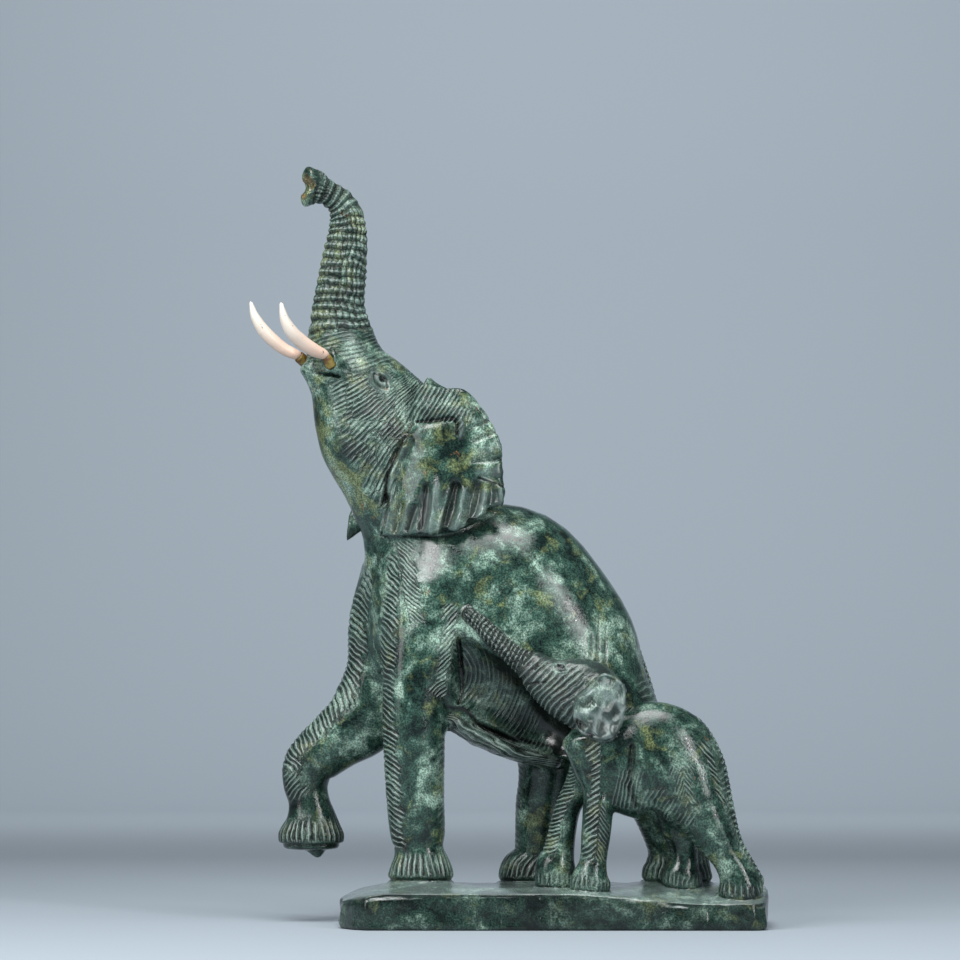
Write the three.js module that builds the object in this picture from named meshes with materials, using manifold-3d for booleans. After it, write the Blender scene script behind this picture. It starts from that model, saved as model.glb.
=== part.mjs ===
// A stone carving of a walking elephant that lifts its trunk, with a calf at its flank, on one base.
// Millimetres, +Z up. X runs from the trunk tip (-) to the calf's tail (+), Y away from the calf's side.
// The origin is the middle of the base's underside.
import * as THREE from "three";
import { mergeVertices } from "three/addons/utils/BufferGeometryUtils.js";
import Module from "manifold-3d";

const wasm = await Module();
wasm.setup();
const { Manifold, Mesh } = wasm;

const glueGap = 0.3;
const ringPitch = 8.6; // one turn of the rings cut round the trunk
const ringDepth = 1.1;
const headYaw = (26 * Math.PI) / 180; // the head looks towards the calf's side
const acrossBody = new THREE.Vector3(0, 1, 0);
const acrossHead = new THREE.Vector3(-Math.sin(headYaw), Math.cos(headYaw), 0);

const clamp = THREE.MathUtils.clamp;
const slope = THREE.MathUtils.smoothstep;

// Each row of stations is [x, y, z, half width seen from the side, half depth across].
const mother = {
  barrel: {
    stations: [
      [-112, 18, 262, 60, 44],
      [-90, 18, 256, 82, 53],
      [-46, 18, 241, 96, 60],
      [-6, 18, 214, 81, 60],
      [25, 18, 180, 63, 57],
      [47, 18, 158, 43, 50],
    ],
    caps: [30, 26],
    steps: 2,
    sides: 21,
  },
  neck: {
    stations: [
      [-84, 17, 280, 62, 46],
      [-103, 16, 318, 51, 40],
      [-118, 14, 352, 46, 36],
    ],
    caps: [20, 18],
    sides: 18,
  },
  head: {
    stations: [
      [-117, 13, 345, 43, 34],
      [-128, 10, 372, 49.5, 36],
      [-139, 6, 398, 52, 36],
      [-151, 2.5, 420, 45, 34],
      [-164, -3, 446, 32, 27],
      [-170.5, -7, 470, 25.5, 22],
    ],
    caps: [20, 14],
    across: acrossHead,
    power: 2.3,
    sides: 18,
  },
  chest: {
    stations: [
      [-132, 19, 312, 16, 17],
      [-129, 21, 270, 20, 20],
      [-122, 22, 228, 22, 20],
      [-108, 22, 196, 20, 18],
    ],
    caps: [12, 12],
    sides: 12,
  },
  nearForeleg: {
    stations: [
      [-97, -2, 262, 34, 22],
      [-105, -12, 215, 30, 26],
      [-109.5, -13, 178, 26, 26],
      [-110, -13, 145, 24.8, 25],
      [-109, -12, 104, 23.4, 23.5],
      [-107, -12, 74, 22, 22],
      [-106, -12, 61, 19.3, 20],
      [-105, -12, 51, 23, 23],
      [-104.5, -12, 42, 26, 25.5],
      [-104.5, -12, 34, 25.5, 25],
    ],
    caps: [20, 2.5],
    sides: 14,
    toes: true,
  },
  farForeleg: {
    stations: [
      [-121, 37, 276, 34, 21],
      [-133, 46, 240, 31.5, 25],
      [-137, 47, 203, 29.5, 24],
      [-150, 47, 167, 31, 23.5],
      [-175, 47, 146, 25, 21.5],
      [-195, 47, 128, 21.5, 19],
      [-198.5, 47, 112, 18.5, 17],
      [-196, 47, 98, 16.5, 16.5],
      [-194, 47, 84, 20.5, 19],
      [-194, 47, 72, 26.5, 22.5],
      [-194, 47, 64, 26, 22],
      [-194, 47, 60, 22, 20],
    ],
    caps: [16, 2.5],
    sides: 14,
    toes: true,
  },
  farHindleg: {
    stations: [
      [0, 40, 180, 38, 28],
      [-3, 44, 124, 24, 23],
      [-7, 46, 94, 22, 21.5],
      [-9, 46, 66, 20.5, 21],
      [-11, 46, 52, 20, 21],
      [-17, 46, 40, 24.5, 23.5],
      [-18, 46, 31, 25, 24],
    ],
    caps: [20, 2.5],
    sides: 14,
    toes: true,
  },
  nearHindleg: {
    stations: [
      [42, 4, 178, 36, 34],
      [62, -4, 146, 31, 28],
      [86, -8, 104, 28, 25],
      [98, -8, 66, 23.5, 22],
      [99.5, -8, 51, 25, 24],
      [99, -8, 42, 28, 25],
      [99, -8, 31, 28, 25],
    ],
    caps: [24, 2.5],
    sides: 14,
    toes: true,
  },
  bellyLip: {
    stations: [
      [-88, 6, 172, 5, 22],
      [-70, 4, 156, 6, 26],
      [-50, 4, 144.5, 6, 28],
      [-28, 6, 136.5, 6, 28],
      [-2, 10, 130, 6, 26],
    ],
    caps: [6, 8],
    sides: 10,
  },
};

const calf = {
  barrel: {
    stations: [
      [36, -46, 142, 31, 21],
      [57, -48, 134, 43.5, 25],
      [84, -49, 129, 47, 27],
      [100, -50, 117, 38, 26],
      [110, -52, 101, 25, 22],
    ],
    caps: [14, 14],
    sides: 16,
  },
  head: {
    stations: [
      [42, -50, 172, 24, 17],
      [26, -54, 182, 28, 19],
      [9, -56, 188, 25, 18],
      [-4, -56, 194, 19, 15.5],
      [-16, -54, 204, 13, 12],
    ],
    caps: [10, 10],
    sides: 14,
  },
  nearForeleg: {
    stations: [
      [32, -54, 146, 25, 17],
      [35, -58, 110, 13, 13],
      [34.5, -60, 92, 12, 12.5],
      [33, -60, 73, 11.5, 12],
      [31, -60, 54, 10.5, 11],
      [29, -60, 43, 13.5, 13.5],
      [28.5, -60, 37, 16, 15.5],
      [28.5, -60, 28, 15.5, 15],
    ],
    caps: [12, 2],
    sides: 10,
  },
  farForeleg: {
    stations: [
      [34, -38, 142, 17, 16],
      [21, -35, 112, 12, 12],
      [12, -34, 95, 10.5, 12],
      [7.5, -34, 77, 11, 12],
      [4.5, -34, 60, 12.5, 12.5],
      [2, -34, 48, 16, 15],
      [2, -34, 30, 16, 15],
    ],
    caps: [10, 2],
    sides: 10,
  },
  nearHindleg: {
    stations: [
      [107, -54, 110, 29, 20],
      [118, -58, 88, 21, 17],
      [126, -60, 72, 17, 14],
      [136, -60, 56, 13, 12],
      [143, -60, 43, 14.5, 13],
      [145.5, -60, 33, 17.5, 15],
      [145.5, -60, 22, 17.5, 15],
    ],
    caps: [12, 2],
    sides: 12,
  },
  farHindleg: {
    stations: [
      [104, -38, 110, 26, 16],
      [101, -37, 82, 17, 13],
      [103, -36, 66, 11.5, 11],
      [103.5, -36, 53, 10.8, 11],
      [101.5, -36, 41, 15, 13.5],
      [101.5, -36, 28, 15, 13.5],
    ],
    caps: [12, 2],
    sides: 10,
  },
};

// Trunks and tails carry rings, so they are lofted in steps of half a ring.
const trunks = {
  motherTrunk: {
    stations: [
      [-167, -6, 458, 26, 22],
      [-170.5, -8, 484, 23.3, 20],
      [-170, -8, 502, 20.3, 18.5],
      [-168, -7, 518, 19.8, 17],
      [-165.2, -6, 540, 17.8, 15.5],
      [-164, -5.5, 551.5, 16.2, 14.5],
      [-164, -5.5, 560, 15, 13.5],
      [-165.3, -6, 569, 13.6, 12.5],
      [-170.8, -8.5, 579, 11.4, 11],
      [-180.5, -13, 585, 10.6, 10.5],
      [-189, -17, 588.3, 14.5, 11.5],
      [-196.5, -20, 589, 16.5, 12],
    ],
    caps: [12, 3],
    across: acrossHead,
    power: 2.2,
    pitch: ringPitch,
    depth: ringDepth,
    sides: 12,
  },
  calfTrunk: {
    stations: [
      [-10, -55, 198, 15, 12],
      [-17, -54, 204.5, 12, 11],
      [-28, -51, 211.5, 9.5, 9],
      [-38, -48, 219.5, 8, 8],
      [-48, -45, 229, 6.8, 7.5],
      [-58, -42, 239, 5.8, 6.5],
      [-66, -40, 245.5, 5, 6],
    ],
    caps: [6, 5],
    sides: 10,
  },
  motherTail: {
    stations: [
      [38, 18, 266, 4, 5],
      [55, 18, 246, 4, 5],
      [68, 18, 218, 4, 5],
      [77.5, 18, 191, 4, 5],
      [83, 18, 166, 4.5, 5],
      [93, 18, 130, 5.5, 6],
      [104, 18, 96, 6, 7],
      [112, 17, 70, 5, 6],
    ],
    caps: [6, 6],
    pitch: 20,
    depth: 0.8,
    sides: 6,
  },
  calfTail: {
    stations: [
      [114, -52, 161, 3.5, 4],
      [123, -53, 148, 4, 4.5],
      [131, -54, 130, 4, 4.5],
      [135.5, -55, 108, 4, 4.5],
      [140, -56, 84, 4, 4.5],
      [144, -57, 68, 4.5, 5],
      [153, -58, 50, 5, 5.5],
      [160, -58, 38, 5, 5.5],
    ],
    caps: [5, 5],
    pitch: 17,
    depth: 0.7,
    sides: 6,
  },
};

const tusks = {
  near: [
    [-176.5, -34.6, 445.5, 2.5, 2.5],
    [-179.7, -37.6, 450.4, 2.6, 2.6],
    [-181.2, -38.8, 452, 4, 4],
    [-190, -44, 455.8, 5.4, 5.4],
    [-198.7, -50, 461.5, 5.6, 5.6],
    [-206.2, -56, 468.7, 5.2, 5.2],
    [-211.4, -60, 478.2, 3.8, 3.8],
    [-214, -62, 489.8, 1.5, 1.5],
  ],
  far: [
    [-197.5, 7, 450, 3, 3],
    [-203.4, 2.8, 454.6, 3.1, 3.1],
    [-205.2, 1.8, 455.8, 4.2, 4.2],
    [-215, -1, 460.3, 4.9, 4.9],
    [-224.3, -5, 467.5, 5.2, 5.2],
    [-232, -8, 475.8, 4.9, 4.9],
    [-237.8, -10, 485.5, 3.6, 3.6],
    [-241, -11, 496.2, 1.4, 1.4],
  ],
};

// The glue collar is a short plug between the stone and the tusk's narrow root.
const collars = {
  near: [
    [-175.5, -34, 444, 4.7, 4.7],
    [-180.2, -38, 451, 3.8, 3.8],
  ],
  far: [
    [-196.5, 7.3, 449.4, 5.2, 5.2],
    [-203.2, 3, 454.4, 4.8, 4.8],
  ],
};

// The top of the near ear folds over and hangs as a thick flap above a deep crease.
const earFold = {
  stations: [
    [-112, -22, 408, 5, 4],
    [-98, -33, 408.5, 6.5, 6],
    [-84, -36, 409, 6.5, 6.5],
    [-75, -37, 403, 4.5, 5],
    [-72, -36, 392, 3, 4],
  ],
  caps: [4, 4],
  sides: 8,
  power: 2,
};

// Ears are sheets: an outline seen from the side, as [x, z], round a point inside it.
const ears = {
  near: {
    outline: [
      [-105, 429],
      [-86, 426],
      [-70, 424],
      [-54, 407],
      [-41, 382],
      [-39.5, 356],
      [-38, 339],
      [-50, 328],
      [-76, 313],
      [-108, 310],
      [-137, 311],
      [-131, 337],
      [-132, 352],
      [-127, 370],
      [-117, 390],
      [-110, 404],
      [-110, 418],
    ],
    heart: [-88, 366],
    points: 34,
    rings: [0.5, 0.93, 1],
    thick: 12,
    flutes: 13,
    fluteDepth: 1.6,
    middle: (x, z) => {
      const back = clamp((x + 128) / 48, 0, 1);
      return (
        -16 -
        18 * back * (2 - back) -
        3 * clamp((360 - z) / 50, 0, 1) +
        3 * clamp((x + 60) / 25, 0, 1)
      );
    },
  },
  far: {
    outline: [
      [-106, 434],
      [-100, 444],
      [-92, 439],
      [-80, 430],
      [-58, 404],
      [-48, 372],
      [-58, 340],
      [-96, 322],
      [-130, 320],
      [-150, 317],
      [-167, 307],
      [-164, 330],
      [-157, 352],
      [-138, 380],
      [-116, 408],
    ],
    heart: [-102, 372],
    points: 22,
    rings: [0.5, 0.94, 1],
    thick: 11,
    flutes: 8,
    fluteDepth: -1.2,
    middle: (x) => 52 + 0.05 * (x + 120),
  },
  calf: {
    outline: [
      [47, 198],
      [36, 199],
      [27, 188],
      [18, 180],
      [14.5, 168],
      [17, 156],
      [25, 150],
      [36, 147],
      [47, 149],
      [54, 160],
      [57, 176],
      [55, 190],
    ],
    heart: [36, 173],
    points: 20,
    rings: [0.5, 0.92, 1],
    thick: 8,
    flutes: 7,
    fluteDepth: 1,
    middle: (x) => -74 + 0.02 * (x - 35),
  },
};

const base = {
  plan: [
    [-168, -8],
    [-168, -46],
    [-157, -68],
    [-146, -78],
    [-60, -80],
    [60, -79],
    [156, -80],
    [165, -74],
    [168, -40],
    [172, 10],
    [170, 62],
    [150, 76],
    [40, 79],
    [-80, 78],
    [-150, 74],
    [-166, 50],
  ],
  top: 31,
  rimStep: 38,
  edge: 3,
};

// A smooth row through the stations, with every entry interpolated.
function spline(rows, steps, closed = false) {
  const last = rows.length - 1;
  const at = (i) => {
    if (closed) return rows[(i + rows.length) % rows.length];
    if (i < 0) return rows[0].map((v, k) => 2 * v - rows[1][k]);
    if (i > last) return rows[last].map((v, k) => 2 * v - rows[last - 1][k]);
    return rows[i];
  };
  const out = [];
  for (let i = 0; i < (closed ? rows.length : last); i++) {
    const [a, b, c, d] = [at(i - 1), at(i), at(i + 1), at(i + 2)];
    for (let k = 0; k < steps; k++) {
      const t = k / steps;
      out.push(
        b.map(
          (v, j) =>
            0.5 *
            (2 * v +
              (c[j] - a[j]) * t +
              (2 * a[j] - 5 * v + 4 * c[j] - d[j]) * t * t +
              (3 * v - a[j] - 3 * c[j] + d[j]) * t * t * t),
        ),
      );
    }
  }
  if (!closed) out.push([...rows[last]]);
  return out;
}

// The same row, cut into pieces of one length.
function even(rows, length, closed = false) {
  const fine = spline(rows, 16, closed);
  if (closed) fine.push([...fine[0]]);
  const size = closed ? 2 : 3;
  const far = [0];
  for (let i = 1; i < fine.length; i++) {
    let s = 0;
    for (let k = 0; k < size; k++) s += (fine[i][k] - fine[i - 1][k]) ** 2;
    far.push(far[i - 1] + Math.sqrt(s));
  }
  const total = far[far.length - 1];
  const count = Math.max(2, Math.round(total / length));
  const out = [];
  for (let n = 0; n <= count - (closed ? 1 : 0); n++) {
    const want = (total * n) / count;
    let i = 1;
    while (i < far.length - 1 && far[i] < want) i++;
    const t = (want - far[i - 1]) / (far[i] - far[i - 1]);
    out.push(fine[i].map((v, k) => fine[i - 1][k] * (1 - t) + v * t));
  }
  return out;
}

function solid(vertices, triangles) {
  return new Manifold(
    new Mesh({
      numProp: 3,
      vertProperties: new Float32Array(vertices.flat()),
      triVerts: new Uint32Array(triangles.flat()),
    }),
  );
}

// A limb: rounded sections swept along its stations, closed by a dome at each end.
function limb({
  stations,
  caps,
  across = acrossBody,
  power = 2.15,
  sides = 20,
  steps = 1,
  toes = false,
  pitch = 0,
  depth = 0,
  grow = 0,
}) {
  const path = pitch ? even(stations, pitch / 2) : spline(stations, steps);
  const last = path.length - 1;
  const point = (row) => new THREE.Vector3(row[0], row[1], row[2]);
  const footTop = path[last][2] + 26;
  const rings = [];
  const frames = path.map((row, i) => {
    const along = point(path[Math.min(i + 1, last)])
      .sub(point(path[Math.max(i - 1, 0)]))
      .normalize();
    const side = across
      .clone()
      .addScaledVector(along, -across.dot(along))
      .normalize();
    return { along, side, up: new THREE.Vector3().crossVectors(along, side) };
  });
  const ring = (i, shift, scale, dent) => {
    const { along, side, up } = frames[i];
    const centre = point(path[i]).addScaledVector(along, shift);
    const points = [];
    for (let k = 0; k < sides; k++) {
      const angle = (2 * Math.PI * (k + 0.5)) / sides;
      const c = Math.cos(angle);
      const s = Math.sin(angle);
      const r =
        scale / (Math.abs(c) ** power + Math.abs(s) ** power) ** (1 / power);
      const nick = toes && centre.z < footTop && k % 2 ? 0.9 : 0;
      const width = (path[i][3] + grow - dent - nick) * c * r;
      const deep = (path[i][4] + grow - dent - nick) * s * r;
      points.push(
        centre.clone().addScaledVector(up, width).addScaledVector(side, deep),
      );
    }
    rings.push(points);
  };
  const domes = sides > 20 ? [0.9, 0.5] : [0.75];
  for (const a of domes)
    ring(0, -(caps[0] + grow) * Math.sin(a), Math.cos(a), 0);
  path.forEach((_, i) => {
    const open = clamp(Math.min(i, last - i) / 3, 0, 1);
    ring(i, 0, 1, pitch && i % 2 ? depth * open : 0);
  });
  for (const a of [...domes].reverse())
    ring(last, (caps[1] + grow) * Math.sin(a), Math.cos(a), 0);
  const vertices = rings.flat().map((p) => p.toArray());
  const start = point(path[0]).addScaledVector(
    frames[0].along,
    -(caps[0] + grow),
  );
  const end = point(path[last]).addScaledVector(
    frames[last].along,
    caps[1] + grow,
  );
  vertices.push(start.toArray(), end.toArray());
  const triangles = [];
  const id = (i, k) => i * sides + (k % sides);
  for (let i = 0; i < rings.length - 1; i++)
    for (let k = 0; k < sides; k++)
      triangles.push(
        [id(i, k), id(i + 1, k), id(i, k + 1)],
        [id(i, k + 1), id(i + 1, k), id(i + 1, k + 1)],
      );
  for (let k = 0; k < sides; k++) {
    triangles.push([rings.length * sides, id(0, k), id(0, k + 1)]);
    triangles.push([
      rings.length * sides + 1,
      id(rings.length - 1, k + 1),
      id(rings.length - 1, k),
    ]);
  }
  return solid(vertices, triangles);
}

// A fan of rings from a heart point out to a closed outline, on two faces that meet at the rim.
// level(x, z, share, k) gives the two heights at a point, share being 1 at the rim.
function slab(outline, heart, shares, level, place) {
  const count = outline.length;
  const vertices = [];
  for (const face of [0, 1]) {
    vertices.push(place(heart[0], heart[1], level(...heart, 0, 0)[face]));
    for (const share of shares)
      outline.forEach(([a, b], k) => {
        const x = heart[0] + (a - heart[0]) * share;
        const z = heart[1] + (b - heart[1]) * share;
        vertices.push(place(x, z, level(x, z, share, k)[face]));
      });
  }
  const per = 1 + shares.length * count;
  const id = (face, ring, k) => face * per + 1 + ring * count + (k % count);
  const triangles = [];
  for (const face of [0, 1])
    for (let k = 0; k < count; k++) {
      const fan = [face * per, id(face, 0, k), id(face, 0, k + 1)];
      triangles.push(face ? fan : fan.reverse());
      for (let r = 0; r < shares.length - 1; r++) {
        const quad = [
          [id(face, r, k), id(face, r + 1, k), id(face, r, k + 1)],
          [id(face, r, k + 1), id(face, r + 1, k), id(face, r + 1, k + 1)],
        ];
        triangles.push(...(face ? quad : quad.map((t) => t.reverse())));
      }
    }
  const rim = shares.length - 1;
  for (let k = 0; k < count; k++)
    triangles.push(
      [id(0, rim, k), id(0, rim, k + 1), id(1, rim, k)],
      [id(0, rim, k + 1), id(1, rim, k + 1), id(1, rim, k)],
    );
  const made = solid(vertices, triangles);
  return made.volume() < 0
    ? solid(
        vertices,
        triangles.map((t) => t.reverse()),
      )
    : made;
}

function ear(made) {
  const { outline, heart, points, thick, flutes, fluteDepth, middle } = made;
  const round = even(outline, outlineLength(outline) / points, true);
  const half = thick / 2;
  const faces = (x, z, share, k) => {
    const wave = Math.cos((2 * Math.PI * flutes * k) / round.length);
    const cut = fluteDepth * slope(share, 0.5, 0.97) * wave;
    const swell = half * (share > 0.98 ? 0.45 : 1);
    const y = middle(x, z);
    return fluteDepth > 0
      ? [y - swell - cut, y + swell]
      : [y - swell, y + swell - cut];
  };
  return slab(round, heart, made.rings, faces, (x, z, y) => [
    x,
    y,
    z,
  ]);
}

function outlineLength(outline) {
  return outline.reduce((sum, [a, b], i) => {
    const [c, d] = outline[(i + 1) % outline.length];
    return sum + Math.hypot(c - a, d - b);
  }, 0);
}

function baseTop(x, y) {
  const mound = (cx, cy, r, h) =>
    h * Math.exp(-((x - cx) ** 2 + (y - cy) ** 2) / (r * r));
  return (
    base.top +
    mound(-105, -12, 34, 7) +
    mound(96, 0, 40, 5) +
    mound(-15, 46, 30, 2) -
    9 * clamp((-x - 132) / 36, 0, 1) ** 1.4 -
    (2 + 8 * clamp((x - 20) / 90, 0, 1)) * clamp((-y - 30) / 50, 0, 1) ** 1.3
  );
}

function baseSlab() {
  const rim = [];
  base.plan.forEach(([a, b], i) => {
    const [c, d] = base.plan[(i + 1) % base.plan.length];
    const cuts = Math.max(1, Math.round(Math.hypot(c - a, d - b) / base.rimStep));
    for (let k = 0; k < cuts; k++)
      rim.push([a + ((c - a) * k) / cuts, b + ((d - b) * k) / cuts]);
  });
  const level = (x, y, share) => {
    const edge = share > 0.99 ? base.edge : 0;
    return [0, baseTop(x, y) - edge];
  };
  return slab(rim, [0, 0], [0.5, 0.96, 1], level, (x, y, z) => [
    x,
    y,
    z,
  ]);
}

// An eyeball or a small bump.
function ball(x, y, z, r) {
  const shape = new THREE.IcosahedronGeometry(r, 1);
  shape.deleteAttribute("normal");
  shape.deleteAttribute("uv");
  const merged = mergeVertices(shape.translate(x, y, z));
  return new Manifold(
    new Mesh({
      numProp: 3,
      vertProperties: merged.attributes.position.array,
      triVerts: new Uint32Array(merged.index.array),
    }),
  );
}

// A blunt rod between two points.
const rod = (a, b, across = acrossBody, sides = 8) =>
  limb({ stations: [a, b], caps: [2, 2], across, sides, power: 2 });

function tusk(rows, grow = 0) {
  return limb({
    stations: rows,
    caps: [2, 3],
    across: acrossHead,
    power: 2,
    sides: 10,
    grow,
  });
}

function collar(rows, grow = 0) {
  return limb({
    stations: rows,
    caps: [2, 1.2],
    across: acrossHead,
    power: 2,
    sides: 8,
    steps: 1,
    grow,
  });
}

function carving() {
  const hollow = limb({
    stations: [
      [-69, -54, 216, 13, 30],
      [-57, -54, 192, 29, 40],
      [-28, -54, 167, 28, 52],
      [-2, -52, 150, 22, 56],
      [12, -50, 142, 18, 50],
    ],
    caps: [14, 20],
    power: 2.6,
    sides: 16,
  });
  // A deep slit parts the foreleg from the hollow.
  const slit = limb({
    stations: [
      [-74, -40, 216, 1, 22],
      [-72.5, -43, 192, 2.4, 24],
      [-79, -42, 176, 5, 24],
    ],
    caps: [14, 3],
    power: 2,
    sides: 6,
    steps: 1,
  });
  const trunkMouth = rod(
    [-188, -16.5, 588.5, 4, 3.5],
    [-206, -24, 589, 15, 10],
    acrossHead,
  );
  const trunkNotch = rod(
    [-194.5, -19.5, 589.5, 4, 16],
    [-207, -24.5, 589.5, 18, 16],
    acrossHead,
  );
  const mouth = rod(
    [-187, -31, 440, 1.6, 13],
    [-169, -27, 434.5, 1.9, 12],
    acrossHead,
  );
  const elephant = Manifold.union(
    ["barrel", "neck", "head", "chest"].map((name) => limb(mother[name])),
  )
    .add(limb(mother.nearForeleg))
    .add(limb(mother.farForeleg))
    .add(limb(mother.farHindleg))
    .add(limb(mother.nearHindleg))
    .subtract(hollow)
    .subtract(slit)
    .add(limb(mother.bellyLip))
    .add(limb(trunks.motherTrunk))
    .subtract(trunkMouth)
    .subtract(trunkNotch)
    .add(limb(trunks.motherTail))
    .add(ear(ears.near))
    .add(limb(earFold))
    .add(ear(ears.far));
  const lips = Manifold.union([
    rod([-168, -24, 438, 9, 9], [-176, -33, 446, 6.6, 6.6], acrossHead),
    rod([-184, 3, 439, 10, 9], [-195.5, 7.5, 448, 7.8, 8], acrossHead),
    rod([-188, -10, 436, 9, 14], [-196, -12, 445, 5, 12], acrossHead),
    ball(-136.5, -20.5, 435.3, 5),
    ball(-162.5, 27, 435.5, 5),
    rod([-193, 44, 61, 6, 5], [-187, 44, 56, 5.5, 5]),
  ]);
  const young = Manifold.union([
    ...Object.values(calf).map((part) => limb(part)),
    limb(trunks.calfTrunk),
    limb(trunks.calfTail),
    ear(ears.calf),
    ball(5.2, -71.5, 203.8, 3.6),
  ]);
  return elephant.add(lips).subtract(mouth).add(young).add(baseSlab());
}

const colours = { stone: "#3f6150", ivory: "#e9e3d8", glue: "#b98a2c" };

function mesh(name, made, colour) {
  const { vertProperties, triVerts } = made.getMesh();
  const geometry = new THREE.BufferGeometry();
  geometry.setAttribute(
    "position",
    new THREE.BufferAttribute(vertProperties, 3),
  );
  geometry.setIndex(new THREE.BufferAttribute(triVerts, 1));
  geometry.computeVertexNormals();
  const node = new THREE.Mesh(
    geometry,
    new THREE.MeshStandardMaterial({ color: colour }),
  );
  node.name = name;
  return node;
}

const glue = { near: collar(collars.near), far: collar(collars.far) };
const stone = carving()
  .subtract(collar(collars.near, glueGap))
  .subtract(collar(collars.far, glueGap))
  .subtract(tusk(tusks.near, glueGap))
  .subtract(tusk(tusks.far, glueGap));

const root = new THREE.Group();
root.add(
  mesh("carving", stone, colours.stone),
  mesh("near_tusk", tusk(tusks.near), colours.ivory),
  mesh("far_tusk", tusk(tusks.far), colours.ivory),
  mesh(
    "near_tusk_glue",
    glue.near.subtract(tusk(tusks.near, glueGap)),
    colours.glue,
  ),
  mesh(
    "far_tusk_glue",
    glue.far.subtract(tusk(tusks.far, glueGap)),
    colours.glue,
  ),
);

export default root;
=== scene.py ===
from math import cos, pi, radians, sin

import bpy
import numpy as np
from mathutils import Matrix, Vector


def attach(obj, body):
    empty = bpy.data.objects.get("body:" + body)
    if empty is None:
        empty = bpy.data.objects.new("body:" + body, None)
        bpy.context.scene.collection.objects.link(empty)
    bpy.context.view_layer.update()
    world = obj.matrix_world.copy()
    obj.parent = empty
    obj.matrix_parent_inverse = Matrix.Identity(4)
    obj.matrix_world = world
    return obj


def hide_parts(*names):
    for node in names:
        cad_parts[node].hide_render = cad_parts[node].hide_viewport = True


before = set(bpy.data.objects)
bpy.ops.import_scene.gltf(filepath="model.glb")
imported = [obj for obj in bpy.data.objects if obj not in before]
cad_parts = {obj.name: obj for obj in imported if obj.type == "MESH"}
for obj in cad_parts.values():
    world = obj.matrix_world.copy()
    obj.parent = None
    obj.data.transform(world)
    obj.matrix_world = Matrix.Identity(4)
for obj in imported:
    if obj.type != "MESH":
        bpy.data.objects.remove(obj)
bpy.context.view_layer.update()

# Lengths below are millimetres until a mesh is made, which turns them into metres.
metre = 0.001
headYaw = radians(26)
acrossBody = (0.0, 1.0, 0.0)
acrossHead = (-sin(headYaw), cos(headYaw), 0.0)

# The side view is drawn on the middle plane, as seen from this place.
viewer = (-57.5, -3000.0, 168.0)

stone = dict(
    node="carving",
    slot="stone",
    grid=1.5,
    draftGrid=3.0,
    triangles=196000,
    ringPitch=6.9,
    ringDepth=1.3,
    cheekStrokes=36.0,
    cheekDepth=1.15,
    seed=7,
    # Colours for grey dust with painted sheen, pale unpolished stone, painted shade, painted highlights on
    # ridges and painted shade in cuts.
    dustAndSheenColour=(0.200, 0.245, 0.240, 1),
    dustColour=(0.20, 0.26, 0.22, 1),
    paintedShadeColour=(0.0015, 0.0025, 0.0025, 1),
    ridgeHighlightColour=(0.33, 0.41, 0.38, 1),
    cutShadeColour=(0.003, 0.006, 0.005, 1),
    gleam=0.42,
    rough=0.09,
)
tusk = dict(
    sides=36,
    wobble=0.12,
    seed=21,
    white=(0.66, 0.61, 0.53, 1),
    blush=(0.66, 0.46, 0.36, 1),
    speck=(0.12, 0.09, 0.06, 1),
    rough=0.38,
)
glue = dict(
    detail=0.6,
    lump=0.5,
    seed=33,
    dark=(0.10, 0.042, 0.008, 1),
    amber=(0.20, 0.15, 0.03, 1),
    rough=0.3,
)

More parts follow.
